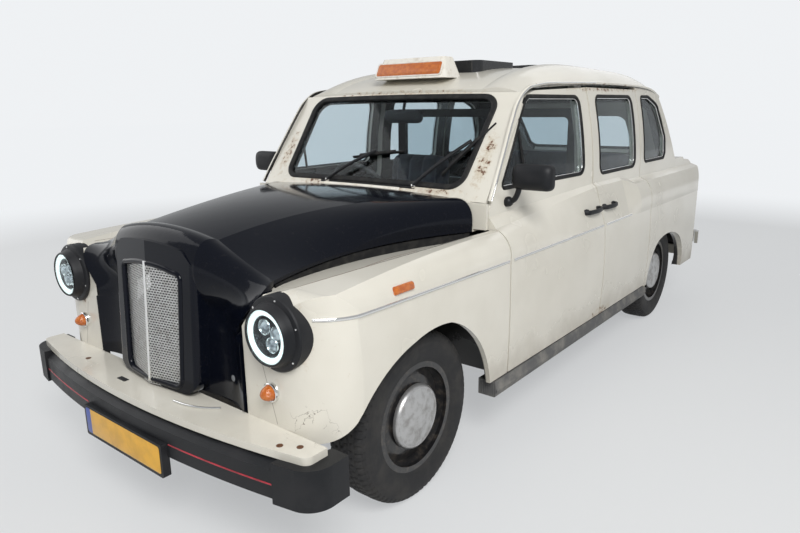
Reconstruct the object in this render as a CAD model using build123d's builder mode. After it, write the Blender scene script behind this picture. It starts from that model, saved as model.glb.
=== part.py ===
import os
from collections import namedtuple
from math import atan2, cos, degrees, radians, sin, tan

from build123d import *

os.makedirs("parts", exist_ok=True)

# Axes: +X is the cab's left side, -Y its front, +Z up. The floor is z = 0 and y = 0 is mid-length.
# All sizes are millimetres.

# Running gear
wheelbase = 2810.0
front_axle_y = -1520.0
rear_axle_y = front_axle_y + wheelbase
track = 1422.0
tyre_radius = 340.0
tyre_width = 178.0
rim_radius = 205.0
rim_flange_radius = 218.0
hub_cap_radius = 127.0
spindle_radius = 25.0
spindle_clearance = 0.05
kingpin_x = 620.0
kingpin_radius = 18.0
kingpin_clearance = 0.05
wheel_x = track / 2

# Body shell
front_seam_y = -945.0
centre_seam_y = 90.0
rear_seam_y = 850.0
tail_y = 2190.0
door_bottom_z = 345.0
sill_top_z = 334.0
seam_gap = 10.0
frame_seam_gap = 16.0
gutter_gap = 11.0
door_wall = 58.0
frame_wall = 38.0
roof_wall = 34.0
waist_z = 1079.0
screen_rake = 36.0
screen_base_y = -955.0
screen_base_z = 1100.0
screen_bow_radius = 16000.0
screen_post_x = 700.0
screen_skin = 14.0
screen_frame_depth = 46.0
glass_thickness = 6.0
pane_clearance = 0.5
wing_flare_y = 480.0
wing_full_y = 650.0

# Front end
wing_front_y = -2080.0
wing_inner_x = 484.0
wing_top_z = 975.0
wing_corner_radius = 200.0
nose_front_y = -2116.0
nose_lean = 3.4
nose_fold = 24.0
nose_bottom_z = 496.0
nose_top_z = 1040.0
nose_half_width = 262.0
bonnet_wall = 18.0
bonnet_gap = 8.0
bonnet_rear_y = -975.0
valance_top_z = 488.0
valance_thickness = 26.0
valance_low_z = valance_top_z - valance_thickness
bumper_front_y = -2276.0
plate_front_y = -2290.0
bumper_half_width = 905.0
bumper_bottom_z = 335.0
lamp_x = 655.0
lamp_z = 813.0
lamp_radius = 89.0
lamp_ring_radius = 125.0
indicator_x = 619.0
indicator_z = 606.0
indicator_radius = 34.0

# Chassis and floor
rail_inner_x = 300.0
rail_outer_x = 360.0
rail_bottom_z = 285.0
rail_depth = 110.0
floor_z = 400.0
floor_thickness = 28.0
floor_half_width = 786.0
driver_seat_x = -370.0
seat_base_z = 610.0
soft_clearance = 0.3
partition_y = 170.0
partition_thickness = 30.0
partition_top_z = 1480.0


# Half section of the body at one station: x and z of the sill, belly, shoulder, waist and cant rail
BodySection = namedtuple("BodySection", "y sill_x belly_x belly_z side_x side_z turn_x turn_z shoulder_x shoulder_z "
                                        "ledge_x ledge_z pillar_x pillar_z cant_x cant_z")
BODY_SECTIONS = (
    BodySection(front_seam_y, 852, 858, 600, 855, 850, 835, 938, 775, 983, 737, 1030, 724, 1300, 690, 1590),
    BodySection(centre_seam_y, 855, 873, 600, 864, 850, 838, 938, 801, 1062, 779, waist_z, 760, 1330, 707, 1590),
    BodySection(wing_flare_y, 855, 873, 600, 864, 850, 838, 938, 801, 1062, 779, waist_z, 760, 1330, 707, 1590),
    BodySection(wing_full_y, 856, 874, 600, 868, 850, 861, 960, 828, 1026, 779, 1050, 760, 1330, 707, 1590),
)
section_base_z = 300.0
section_top_z = 1700.0
side_reach = 950.0


def draw_body_section(s, low_wall, high_wall):
    """One closed body section, moved in by the door's wall below the waist and by the frame's above it."""
    right = [
        (s.sill_x - low_wall, section_base_z), (s.belly_x - low_wall, s.belly_z),
        (s.side_x - low_wall, s.side_z),
        (s.turn_x - low_wall, s.turn_z), (s.shoulder_x - low_wall, s.shoulder_z),
        (s.ledge_x - high_wall, s.ledge_z), (s.pillar_x - high_wall, s.pillar_z),
        (s.cant_x - high_wall, s.cant_z),
        (s.cant_x - high_wall - 20, section_top_z),
    ]
    left = [(-x, z) for x, z in right]
    with BuildSketch(Plane.XZ.offset(-s.y)) as section:
        with BuildLine():
            Line(left[0], right[0])
            ThreePointArc(right[0], right[1], right[2])
            ThreePointArc(right[2], right[3], right[4])
            Line(right[4], right[5])
            ThreePointArc(right[5], right[6], right[7])
            Line(right[7], right[8])
            Line(right[8], left[8])
            Line(left[8], left[7])
            ThreePointArc(left[7], left[6], left[5])
            Line(left[5], left[4])
            ThreePointArc(left[4], left[3], left[2])
            ThreePointArc(left[2], left[1], left[0])
        make_face()
    return section.sketch


def body_prism(low_wall, high_wall):
    """The long body form before its ends are shaped. It widens to the seam and flares to the rear wing."""
    with BuildPart() as form:
        for s in BODY_SECTIONS:
            add(draw_body_section(s, low_wall, high_wall))
        loft(ruled=True)
        add(draw_body_section(BODY_SECTIONS[-1], low_wall, high_wall))
        extrude(amount=tail_y + 50 - wing_full_y, dir=(0, 1, 0))
    return form.part


# The gutter line seen from the side: screen post, bend, cant rail, and the fall over the rear quarter
rake = radians(screen_rake)
post_face_y = screen_base_y + screen_post_x ** 2 / (2 * screen_bow_radius) / cos(rake)
post_foot_y = front_seam_y - seam_gap / 2
post_rise = 355.0
post_foot = (post_foot_y, screen_base_z + (post_foot_y - post_face_y) / tan(rake))
post_head = (post_face_y + post_rise * tan(rake), screen_base_z + post_rise)
post_bend = (-598.0, 1540.0)
cant_front = (-450.0, 1578.0)
cant_middle = (300.0, 1602.0)
cant_rear = (965.0, 1594.0)
quarter_bend = (1270.0, 1556.0)
quarter_head = (1440.0, 1488.0)
tail_foot = (1800.0, 1112.0)
deck_front = (1835.0, 1088.0)
deck_bend = (2085.0, 1010.0)
deck_rear = (tail_y, 790.0)
tail_low = (tail_y, 420.0)
tail_skirt = (2120.0, 345.0)


def draw_side_outline(drop, inset):
    """The cabin and tail seen from the side, below the gutter line by drop and ahead of the tail by inset."""
    def low(p):
        return (p[0], p[1] - drop)

    def deck(p):
        return (p[0] - inset, p[1] - inset)

    with BuildSketch(Plane.YZ.offset(-side_reach)) as outline:
        with BuildLine():
            Line((post_foot[0], section_base_z), low(post_foot))
            Line(low(post_foot), low(post_head))
            ThreePointArc(low(post_head), low(post_bend), low(cant_front))
            ThreePointArc(low(cant_front), low(cant_middle), low(cant_rear))
            ThreePointArc(low(cant_rear), (quarter_bend[0] - inset, quarter_bend[1] - drop), deck(quarter_head))
            Line(deck(quarter_head), deck(tail_foot))
            Line(deck(tail_foot), deck(deck_front))
            ThreePointArc(deck(deck_front), deck(deck_bend), deck(deck_rear))
            Line(deck(deck_rear), deck(tail_low))
            Line(deck(tail_low), (tail_skirt[0] - inset, tail_skirt[1] + inset))
            Line((tail_skirt[0] - inset, tail_skirt[1] + inset), (tail_skirt[0] - inset, section_base_z))
            Line((tail_skirt[0] - inset, section_base_z), (post_foot[0], section_base_z))
        make_face()
    return outline.sketch


# Plan of the body: the rear quarters turn in on large radii
plan_half_width = 880.0
plan_front_y = -1100.0
quarter_radius = 330.0


def draw_plan(inset):
    """The plan of the body, moved in by inset, with the rear quarters turned in on a radius."""
    half = plan_half_width - inset
    back = tail_y - inset
    with BuildSketch(Plane.XY) as plan:
        with Locations((0, (plan_front_y + back) / 2)):
            Rectangle(2 * half, back - plan_front_y)
        fillet(plan.vertices().sort_by(Axis.Y)[-2:], quarter_radius - inset)
    return plan.sketch


# The cabin's rear corners: a rounded plan carried up along the slope of the rear window
corner_half_width = 790.0
corner_radius = 280.0
corner_front_y = 1000.0


def trim_corners(inset):
    """What lies outside the rounded rear corners of the cabin, from the deck up."""
    half = corner_half_width - inset
    back = tail_foot[0] - inset * 1.4
    slope = ((tail_foot[0] - quarter_head[0]) ** 2 + (quarter_head[1] - tail_foot[1]) ** 2) ** 0.5
    with BuildPart() as trim:
        with BuildSketch(Plane.XY.offset(tail_foot[1])):
            with Locations((0, (corner_front_y + tail_y) / 2)):
                Rectangle(2 * side_reach, tail_y - corner_front_y)
        extrude(amount=section_top_z - tail_foot[1], dir=(0, 0, 1))
        with BuildSketch(Plane.XY.offset(tail_foot[1])) as rounded:
            with Locations((0, (back + corner_front_y - 600) / 2)):
                Rectangle(2 * half, back - corner_front_y + 600)
            fillet(rounded.vertices().sort_by(Axis.Y)[-2:], corner_radius - inset)
        extrude(amount=slope * 1.8, dir=(0, quarter_head[0] - tail_foot[0], quarter_head[1] - tail_foot[1]),
                mode=Mode.SUBTRACT)
        with BuildSketch(Plane.XY.offset(tail_foot[1])):
            with Locations((0, (corner_front_y + tail_y) / 2)):
                Rectangle(2 * (half - corner_radius + inset), tail_y - corner_front_y + 100)
        extrude(amount=section_top_z, dir=(0, 0, 1), mode=Mode.SUBTRACT)
    return trim.part


def cabin_form():
    """The outside of the cabin and tail as one solid."""
    with BuildPart() as form:
        add(body_prism(0, 0))
        add(draw_side_outline(0, 0))
        extrude(amount=2 * side_reach, dir=(1, 0, 0), mode=Mode.INTERSECT)
        add(draw_plan(0))
        extrude(amount=section_top_z, mode=Mode.INTERSECT)
        add(trim_corners(0), mode=Mode.SUBTRACT)
    return form.part


def cabin_hollow():
    """The space inside the doors, frames and tail walls."""
    with BuildPart() as form:
        add(body_prism(door_wall, frame_wall))
        add(draw_side_outline(-60, frame_wall))
        extrude(amount=2 * side_reach, dir=(1, 0, 0), mode=Mode.INTERSECT)
        add(draw_plan(door_wall))
        extrude(amount=section_top_z, mode=Mode.INTERSECT)
        add(trim_corners(frame_wall), mode=Mode.SUBTRACT)
    return form.part


outside = cabin_form()
hollow = cabin_hollow()

with BuildPart() as cabin_shell:
    add(outside)
    add(hollow, mode=Mode.SUBTRACT)


# Side windows: the lower edge, then the corners, seen from the side
def draw_front_door_window(grow):
    with BuildSketch(Plane.YZ) as window:
        with BuildLine():
            Polyline((-838, 1145), (-22, 1145), (-22, 1537), (-570, 1537), (-655, 1430), close=True)
        make_face()
        fillet(window.vertices().sort_by(Axis.X)[:1], 14)
        fillet(window.vertices().sort_by(Axis.X)[2:], 45)
        offset(amount=grow)
    return window.sketch


def draw_rear_door_window(grow):
    with BuildSketch(Plane.YZ) as window:
        with Locations((472, 1333)):
            RectangleRounded(562 + 2 * grow, 416 + 2 * grow, 48 + grow)
    return window.sketch


def draw_quarter_window(grow):
    with BuildSketch(Plane.YZ) as window:
        with BuildLine():
            Line((928, 1138), (1350, 1138))
            Line((1350, 1138), (1350, 1270))
            ThreePointArc((1350, 1270), (1262, 1460), (1080, 1542))
            Line((1080, 1542), (928, 1542))
            Line((928, 1542), (928, 1138))
        make_face()
        fillet(window.vertices().sort_by(Axis.X)[:2], 36)
        fillet(window.vertices().sort_by(Axis.Y)[1:2], 30)
        offset(amount=grow)
    return window.sketch


def draw_front_door_outline():
    """The door seen from the side: a straight hinge edge, then the slope of the screen post."""
    back = screen_skin / cos(rake) + gutter_gap
    front = front_seam_y + seam_gap / 2
    rear = centre_seam_y - seam_gap / 2
    high_rear = centre_seam_y - frame_seam_gap / 2
    slope = (post_head[0] - post_foot[0]) / (post_head[1] - post_foot[1])
    turn_z = post_foot[1] + (front - post_foot[0] - back) / slope
    with BuildSketch(Plane.YZ) as outline:
        with BuildLine():
            Line((front, door_bottom_z), (front, turn_z))
            Line((front, turn_z), (post_head[0] + back, post_head[1]))
            ThreePointArc((post_head[0] + back, post_head[1]),
                          (post_bend[0] + back * 0.8, post_bend[1] - gutter_gap * 0.8),
                          (cant_front[0], cant_front[1] - gutter_gap))
            Line((cant_front[0], cant_front[1] - gutter_gap), (high_rear, cant_middle[1] - gutter_gap - 4))
            Polyline((high_rear, cant_middle[1] - gutter_gap - 4), (high_rear, waist_z + 8),
                     (rear, waist_z - 12),
                     (rear, door_bottom_z), (front, door_bottom_z))
        make_face()
    return outline.sketch


def draw_rear_door_outline():
    front = centre_seam_y + seam_gap / 2
    high_front = centre_seam_y + frame_seam_gap / 2
    rear = rear_seam_y - seam_gap / 2
    with BuildSketch(Plane.YZ) as outline:
        with BuildLine():
            Polyline((front, door_bottom_z), (front, waist_z - 12), (high_front, waist_z + 8),
                     (high_front, cant_middle[1] - gutter_gap - 3), (rear, cant_rear[1] - gutter_gap + 1),
                     (rear, door_bottom_z), close=True)
        make_face()
    return outline.sketch


def make_door(outline, window):
    """A door is the body's wall inside its outline, with the window cut through the frame."""
    with BuildPart() as door:
        add(cabin_shell.part)
        add(outline)
        extrude(amount=side_reach, dir=(1, 0, 0), mode=Mode.INTERSECT)
        add(window)
        extrude(amount=side_reach, dir=(1, 0, 0), mode=Mode.SUBTRACT)
    return door.part


def make_side_glass(window):
    """A pane in the middle of the frame's thickness, standing in the frame by its rubber's depth."""
    with BuildPart() as outer_face:
        add(body_prism(0, (frame_wall - glass_thickness) / 2))
        add(body_prism(0, (frame_wall + glass_thickness) / 2), mode=Mode.SUBTRACT)
        add(window)
        extrude(amount=side_reach, dir=(1, 0, 0), mode=Mode.INTERSECT)
    return outer_face.part


def write(part, label):
    part.label = label
    export_step(part, f"parts/{label}.step")


def write_pair(part, label):
    write(part, f"{label}_left")
    write(part.mirror(Plane.YZ), f"{label}_right")


front_door = make_door(draw_front_door_outline(), draw_front_door_window(0))
rear_door = make_door(draw_rear_door_outline(), draw_rear_door_window(0))
write_pair(front_door, "front_door")
write_pair(rear_door, "rear_door")
write_pair(make_side_glass(draw_front_door_window(-pane_clearance)), "front_door_glass")
write_pair(make_side_glass(draw_rear_door_window(-pane_clearance)), "rear_door_glass")


# Rear body: quarter panels, tail and boot surround in one welded shell
boot_half_width = 505.0
boot_top_y = 1862.0
boot_bottom_z = 560.0
boot_gap = 8.0
rear_window_half_width = 440.0
rear_window_low = 0.16
rear_window_high = 0.90
rear_arch_top_z = 629.0
wheel_house_radius = tyre_radius + 48
wheel_house_inner_x = 575.0
wheel_house_outer_x = 812.0


def draw_rear_arch():
    """Opening in the rear wing's skin: lower than the tyre's top, flat above and steeper in front."""
    with BuildSketch(Plane.YZ.offset(wheel_house_outer_x - 10)) as arch:
        with BuildLine():
            Line((rear_axle_y - 386, section_base_z - 5), (rear_axle_y - 386, 345))
            ThreePointArc((rear_axle_y - 386, 345), (rear_axle_y - 325, 545), (rear_axle_y - 190, 618))
            ThreePointArc((rear_axle_y - 190, 618), (rear_axle_y, rear_arch_top_z), (rear_axle_y + 190, 590))
            ThreePointArc((rear_axle_y + 190, 590), (rear_axle_y + 330, 500), (rear_axle_y + 400, 385))
            Line((rear_axle_y + 400, 385), (rear_axle_y + 405, section_base_z - 5))
            Line((rear_axle_y + 405, section_base_z - 5), (rear_axle_y - 386, section_base_z - 5))
        make_face()
    return arch.sketch


def along_rear_window(share):
    """A point on the rear window's slope, as a share of the way up."""
    return (tail_foot[0] + (quarter_head[0] - tail_foot[0]) * share,
            tail_foot[1] + (quarter_head[1] - tail_foot[1]) * share)


rear_slope = degrees(atan2(quarter_head[1] - tail_foot[1], quarter_head[0] - tail_foot[0]))
window_mid = along_rear_window((rear_window_low + rear_window_high) / 2)
window_run = ((quarter_head[0] - tail_foot[0]) ** 2 + (quarter_head[1] - tail_foot[1]) ** 2) ** 0.5
rear_window_plane = Plane(origin=(0, window_mid[0], window_mid[1]), x_dir=(1, 0, 0),
                          z_dir=(0, sin(radians(rear_slope)), -cos(radians(rear_slope))))
rear_window_height = window_run * (rear_window_high - rear_window_low)


def draw_rear_window(grow, out):
    with BuildSketch(rear_window_plane.offset(out)) as window:
        RectangleRounded(2 * (rear_window_half_width + grow), rear_window_height + 2 * grow, 60 + grow)
    return window.sketch


def draw_boot_outline(gap):
    """The boot lid seen from the side: from the deck's front edge down to above the bumper."""
    with BuildSketch(Plane.YZ.offset(-boot_half_width - gap)) as outline:
        with BuildLine():
            Polyline((boot_top_y - gap, 1200), (boot_top_y - gap, 900), (tail_y - 150, boot_bottom_z - gap),
                     (tail_y + 50, boot_bottom_z - gap), (tail_y + 50, 1200), close=True)
        make_face()
    return outline.sketch


with BuildPart() as rear_body:
    add(cabin_shell.part)
    with BuildSketch(Plane.YZ.offset(-side_reach)):
        with BuildLine():
            Polyline((rear_seam_y + seam_gap / 2, sill_top_z), (rear_seam_y + seam_gap / 2, 1700),
                     (tail_y + 50, 1700), (tail_y + 50, section_base_z + 10),
                     (rear_axle_y, section_base_z + 10),
                     (rear_axle_y, sill_top_z), close=True)
        make_face()
    extrude(amount=2 * side_reach, dir=(1, 0, 0), mode=Mode.INTERSECT)
    with BuildSketch(Plane.YZ.offset(wheel_house_inner_x)):
        with Locations((rear_axle_y, tyre_radius)):
            Circle(wheel_house_radius)
        with BuildLine():
            Polyline((rear_axle_y - wheel_house_radius, tyre_radius), (rear_axle_y - wheel_house_radius, 200),
                     (rear_axle_y + wheel_house_radius, 200), (rear_axle_y + wheel_house_radius, tyre_radius),
                     close=True)
        make_face()
    extrude(amount=wheel_house_outer_x - wheel_house_inner_x, mode=Mode.SUBTRACT)
    add(draw_rear_arch())
    extrude(amount=200, dir=(1, 0, 0), mode=Mode.SUBTRACT)
    add(draw_quarter_window(0))
    extrude(amount=side_reach, dir=(1, 0, 0), mode=Mode.SUBTRACT)
    split(bisect_by=Plane.YZ, keep=Keep.TOP)
    mirror(about=Plane.YZ)
    add(draw_rear_window(0, -80))
    extrude(amount=200, dir=rear_window_plane.z_dir, mode=Mode.SUBTRACT)
    add(draw_boot_outline(boot_gap))
    extrude(amount=2 * (boot_half_width + boot_gap), dir=(1, 0, 0), mode=Mode.SUBTRACT)
write(rear_body.part, "rear_body")

with BuildPart() as boot_lid:
    add(cabin_shell.part)
    add(draw_boot_outline(0))
    extrude(amount=2 * boot_half_width, dir=(1, 0, 0), mode=Mode.INTERSECT)
write(boot_lid.part, "boot_lid")


# Fixed glass: windscreen, quarter lights and rear window
screen_half_width = 720.0
screen_length = 575.0
screen_plane = Plane(origin=(0, screen_base_y, screen_base_z), x_dir=(1, 0, 0), z_dir=(0, sin(rake), cos(rake)))
screen_face = Plane(origin=(0, screen_base_y, screen_base_z), x_dir=(1, 0, 0), z_dir=(0, -cos(rake), sin(rake)))
screen_foot_half = 566.0
screen_head_half = 588.0
screen_low = 62.0
screen_high = 548.0
screen_corner = 70.0


def draw_screen_band(front, back, half):
    """Plan of a band that follows the windscreen's bow, from front to back behind its outer face."""
    sag = half ** 2 / (2 * screen_bow_radius)
    with BuildSketch(screen_plane) as band:
        with BuildLine():
            ThreePointArc((-half, front + sag), (0, front), (half, front + sag))
            Line((half, front + sag), (half, back + sag))
            ThreePointArc((half, back + sag), (0, back), (-half, back + sag))
            Line((-half, back + sag), (-half, front + sag))
        make_face()
    return band.sketch


def draw_screen_opening(grow):
    with BuildSketch(screen_face.offset(-150)) as opening:
        with BuildLine():
            Polyline((-screen_foot_half - grow, screen_low - grow),
                     (screen_foot_half + grow, screen_low - grow),
                     (screen_head_half + grow, screen_high + grow),
                     (-screen_head_half - grow, screen_high + grow),
                     close=True)
        make_face()
        fillet(opening.vertices(), screen_corner + grow)
    return opening.sketch


post_inner_half = 640.0

with BuildPart() as screen_skin_band:
    add(draw_screen_band(0, screen_skin, screen_half_width))
    extrude(amount=screen_length, dir=screen_plane.z_dir)
    add(body_prism(0, 0).moved(Location((0, -40, 0))), mode=Mode.INTERSECT)

with BuildPart() as windscreen_frame:
    add(screen_skin_band.part)
    add(draw_screen_band(0, screen_frame_depth, post_inner_half))
    extrude(amount=screen_length, dir=screen_plane.z_dir)
    add(draw_screen_opening(0))
    extrude(amount=300, dir=screen_face.z_dir, mode=Mode.SUBTRACT)
write(windscreen_frame.part, "windscreen_frame")

with BuildPart() as windscreen:
    add(draw_screen_band(8, 8 + glass_thickness, 700))
    extrude(amount=screen_length, dir=screen_plane.z_dir)
    add(draw_screen_opening(-pane_clearance))
    extrude(amount=300, dir=screen_face.z_dir, mode=Mode.INTERSECT)

def draw_partition_window(grow):
    """The window between the driver and the rear cabin, on the front face of its pane."""
    with BuildSketch(Plane.XZ.offset(-partition_y - (partition_thickness - glass_thickness) / 2)) as window:
        with Locations((0, 1240)):
            RectangleRounded(1160 + 2 * grow, 380 + 2 * grow, 30 + grow)
    return window.sketch


with BuildPart() as fixed_glass:
    add(make_side_glass(draw_quarter_window(-pane_clearance)))
    mirror(about=Plane.YZ)
    add(windscreen.part)
    add(draw_rear_window(-pane_clearance, -(frame_wall + glass_thickness) / 2))
    extrude(amount=glass_thickness, dir=rear_window_plane.z_dir)
    add(draw_partition_window(-pane_clearance))
    extrude(amount=glass_thickness, dir=(0, 1, 0))
write(fixed_glass.part, "fixed_glass")


# Roof: a domed panel with its cant rails, from the windscreen header to the rear window
RoofSection = namedtuple("RoofSection", "y edge_x edge_z turn_x turn_z crown_x crown_z top_z")
ROOF_SECTIONS = (
    RoofSection(-592, 692, 1548, 655, 1564, 480, 1574, 1580),
    RoofSection(-300, 700, 1590, 658, 1634, 470, 1664, 1676),
    RoofSection(300, 704, 1606, 658, 1664, 450, 1694, 1706),
    RoofSection(950, 704, 1598, 655, 1650, 450, 1678, 1692),
    RoofSection(1270, 704, 1560, 648, 1598, 420, 1618, 1628),
    RoofSection(1442, 704, 1488, 640, 1506, 420, 1516, 1521),
)

roof_foot = 30.0


def draw_roof_section(s, inset, drop):
    """A roof section: a flat foot, a turn at each edge and a shallow crown between them."""
    foot_z = s.edge_z - roof_foot - drop
    edge_z = s.edge_z - drop
    edge_x = s.edge_x - inset
    with BuildSketch(Plane.XZ.offset(-s.y)) as section:
        with BuildLine():
            Polyline((-edge_x, edge_z), (-edge_x, foot_z), (edge_x, foot_z), (edge_x, edge_z))
            ThreePointArc((edge_x, edge_z), (s.turn_x - inset, s.turn_z - drop),
                          (s.crown_x - inset, s.crown_z - drop))
            ThreePointArc((s.crown_x - inset, s.crown_z - drop), (0, s.top_z - drop),
                          (inset - s.crown_x, s.crown_z - drop))
            ThreePointArc((inset - s.crown_x, s.crown_z - drop), (inset - s.turn_x, s.turn_z - drop),
                          (-edge_x, edge_z))
        make_face()
    return section.sketch


with BuildPart() as roof_panel:
    for s in ROOF_SECTIONS:
        add(draw_roof_section(s, 0, 0))
    loft()
with BuildPart() as roof_hollow:
    for s in ROOF_SECTIONS[1:-1]:
        add(draw_roof_section(s, 46, roof_wall))
    loft()
    add(trim_corners(46), mode=Mode.SUBTRACT)
with BuildPart() as roof:
    add(roof_panel.part)
    add(roof_hollow.part, mode=Mode.SUBTRACT)
    add(draw_side_outline(0, 0))
    extrude(amount=2 * side_reach, dir=(1, 0, 0), mode=Mode.SUBTRACT)
    add(draw_screen_band(-40, screen_frame_depth + 0.5, 800))
    extrude(amount=screen_length, dir=screen_plane.z_dir, mode=Mode.SUBTRACT)
    add(trim_corners(0), mode=Mode.SUBTRACT)
write(roof.part, "roof_panel")


# Bonnet: one lofted shell. Its sections stand upright to the front of the wings, then fan forward about a
# pivot line across the car, and lie flat down the nose, so the sides sweep down round the grille.
# Heights in a section are measured from its own origin.
BonnetSection = namedtuple("BonnetSection", "y z fan foot_x foot base sweep_x sweep crease_x crease top")
fan_y = -1985.0
fan_z = 860.0
BONNET_SECTIONS = (
    BonnetSection(bonnet_rear_y, fan_z, 0, 676, 117, 105, 655, 222, 560, 246, 264),
    BonnetSection(-1520, fan_z, 0, 500, 107, 95, 455, 190, 330, 248, 272),
    BonnetSection(fan_y, fan_z, 0, 545, 85, 73, 410, 128, 262, 190, 215),
    BonnetSection(fan_y, fan_z, 35, 572, 97, 60, 415, 112, 262, 178, 203),
    BonnetSection(fan_y, fan_z, 65, 563, 103, 50, 410, 80, 260, 118, 132),
    BonnetSection(fan_y, fan_z, 90, 528, 105, 45, 390, 66, 258, 90, 100),
    BonnetSection(fan_y, 740, 90, 474, 105, 45, 370, 68, 255, 72, 82),
    BonnetSection(fan_y, nose_bottom_z, 90, 476, 105, 45, 372, 80, 255, 84, 92),
)
nose_corner_radius = 24.0
nose_depth = 90.0
nose_shoulder_z = 1022.0
nose_shoulder_x = 200.0
nose_top_radius = 56.0
nose_low_radius = 74.0
grille_half_width = 191.0
grille_low_z = 512.0
grille_high_z = 928.0
grille_rise = 28.0
grille_corner_radius = 40.0


def draw_bonnet_section(s, wall):
    """One closed section, moved in by wall: skirt, hollow sweep, crease and shallow crown."""
    lean = radians(s.fan)
    foot_x = s.foot_x - wall
    foot = s.foot - wall
    base = s.base - 2 * abs(wall)
    sweep = (s.sweep_x - wall, s.sweep - wall)
    crease = (s.crease_x - wall, s.crease - wall)
    plane = Plane(origin=(0, s.y, s.z), x_dir=(1, 0, 0), z_dir=(0, -cos(lean), -sin(lean)))
    pull = (2 * sweep[0] - (foot_x + crease[0]) / 2, 2 * sweep[1] - (foot + crease[1]) / 2)
    with BuildSketch(plane) as section:
        with BuildLine():
            Polyline((-foot_x, foot), (-foot_x, base), (foot_x, base), (foot_x, foot))
            Bezier((foot_x, foot), pull, crease)
            Bezier(crease, (0, 2 * (s.top - wall) - crease[1]), (-crease[0], crease[1]))
            Bezier((-crease[0], crease[1]), (-pull[0], pull[1]), (-foot_x, foot))
        make_face()
    return section.sketch


def bonnet_form(wall):
    """Three joined lofts: the bonnet up to the front of the wings, the fan, and the straight nose."""
    with BuildPart() as form:
        for first, last in ((0, 2), (2, 6), (6, 7)):
            for s in BONNET_SECTIONS[first:last + 1]:
                add(draw_bonnet_section(s, wall))
            loft()
    return form.part


def draw_nose_plan(wall):
    """Plan of the grille shell at its top: a shallow V in front with rounded corners."""
    front = nose_front_y + wall
    half = nose_half_width - wall
    back = nose_front_y + nose_depth + wall
    with BuildSketch(Plane.XY.offset(nose_top_z + 20)) as plan:
        with BuildLine():
            Polyline((-half, back), (-half, front + nose_fold), (0, front), (half, front + nose_fold),
                     (half, back),
                     close=True)
        make_face()
        fillet(plan.vertices().sort_by(Axis.Y)[1:3], nose_corner_radius)
    return plan.sketch


def draw_nose_face(wall):
    """The grille shell seen from the front: crowned top on round shoulders, and a round-cornered foot."""
    half = nose_half_width - wall
    shoulder = (nose_shoulder_x, nose_shoulder_z - wall)
    low = nose_bottom_z + wall
    with BuildSketch(Plane.XZ.offset(-fan_y)) as face:
        with BuildLine():
            Line((-half, low), (half, low))
            Line((half, low), (half, shoulder[1] - nose_top_radius))
            Line((half, shoulder[1] - nose_top_radius), shoulder)
            ThreePointArc(shoulder, (0, nose_top_z - wall), (-shoulder[0], shoulder[1]))
            Line((-shoulder[0], shoulder[1]), (-half, shoulder[1] - nose_top_radius))
            Line((-half, shoulder[1] - nose_top_radius), (-half, low))
        make_face()
        fillet(face.vertices().sort_by(Axis.Y)[:2], nose_low_radius - wall)
        fillet(face.vertices().sort_by(Axis.Y)[-4:], 36)
    return face.sketch


def nose_form(wall):
    """The grille shell, leaning forward towards its foot."""
    with BuildPart() as form:
        add(draw_nose_plan(wall))
        extrude(amount=620, dir=(0, -sin(radians(nose_lean)), -cos(radians(nose_lean))))
        add(draw_nose_face(wall))
        extrude(amount=260, dir=(0, -1, 0), mode=Mode.INTERSECT)
    return form.part


def draw_grille_opening(grow):
    half = grille_half_width + grow
    with BuildSketch(Plane.XZ.offset(-nose_front_y - 120)) as opening:
        with BuildLine():
            Polyline((-half, grille_high_z + grow), (12 - half, grille_low_z - grow),
                     (half - 12, grille_low_z - grow), (half, grille_high_z + grow))
            ThreePointArc((half, grille_high_z + grow), (0, grille_high_z + grille_rise + grow),
                          (-half, grille_high_z + grow))
        make_face()
        fillet(opening.vertices(), grille_corner_radius)
    return opening.sketch


with BuildPart() as bonnet:
    add(nose_form(0))
    add(bonnet_form(0))
    add(nose_form(bonnet_wall), mode=Mode.SUBTRACT)
    add(bonnet_form(bonnet_wall), mode=Mode.SUBTRACT)
    add(draw_grille_opening(0))
    extrude(amount=220, dir=(0, -1, 0), mode=Mode.SUBTRACT)
write(bonnet.part, "bonnet")


# Front wings: pressed shells, open to the engine bay and the wheel, from the door seam to the lamps' face
wing_rear_y = front_seam_y - seam_gap / 2
wing_outer_x = 859.0
wing_wall = 24.0
wing_rear_wall = 36.0
wing_turn_y = -2005.0
wing_turn_z = 946.0
wing_brow_z = 885.0
wing_open_z = 200.0
wing_foot_z = 452.0
catwalk_outer_x = 610.0
catwalk_outer_z = 926.0
catwalk_inner_z = 914.0


def draw_wing_side():
    """The wing seen from the side: falling top, round brow, upright face and the wheel arch."""
    arch_y = front_axle_y
    with BuildSketch(Plane.YZ.offset(wing_inner_x)) as side:
        with BuildLine():
            Line((wing_rear_y, door_bottom_z), (wing_rear_y, wing_top_z))
            ThreePointArc((wing_rear_y, wing_top_z), (-1650, 966), (wing_turn_y, wing_turn_z))
            ThreePointArc((wing_turn_y, wing_turn_z), (-2056, 928), (wing_front_y, wing_brow_z))
            Line((wing_front_y, wing_brow_z), (wing_front_y, valance_low_z))
            Line((wing_front_y, valance_low_z), (wing_front_y + 30, wing_foot_z))
            ThreePointArc((wing_front_y + 30, wing_foot_z), (arch_y - 480, 463), (arch_y - 410, 506))
            ThreePointArc((arch_y - 410, 506), (arch_y - 322, 592), (arch_y - 102, 693))
            ThreePointArc((arch_y - 102, 693), (arch_y + 20, 712), (arch_y + 122, 704))
            ThreePointArc((arch_y + 122, 704), (arch_y + 330, 560), (arch_y + 424, door_bottom_z))
            Line((arch_y + 424, door_bottom_z), (wing_rear_y, door_bottom_z))
        make_face()
    return side.sketch


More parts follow.
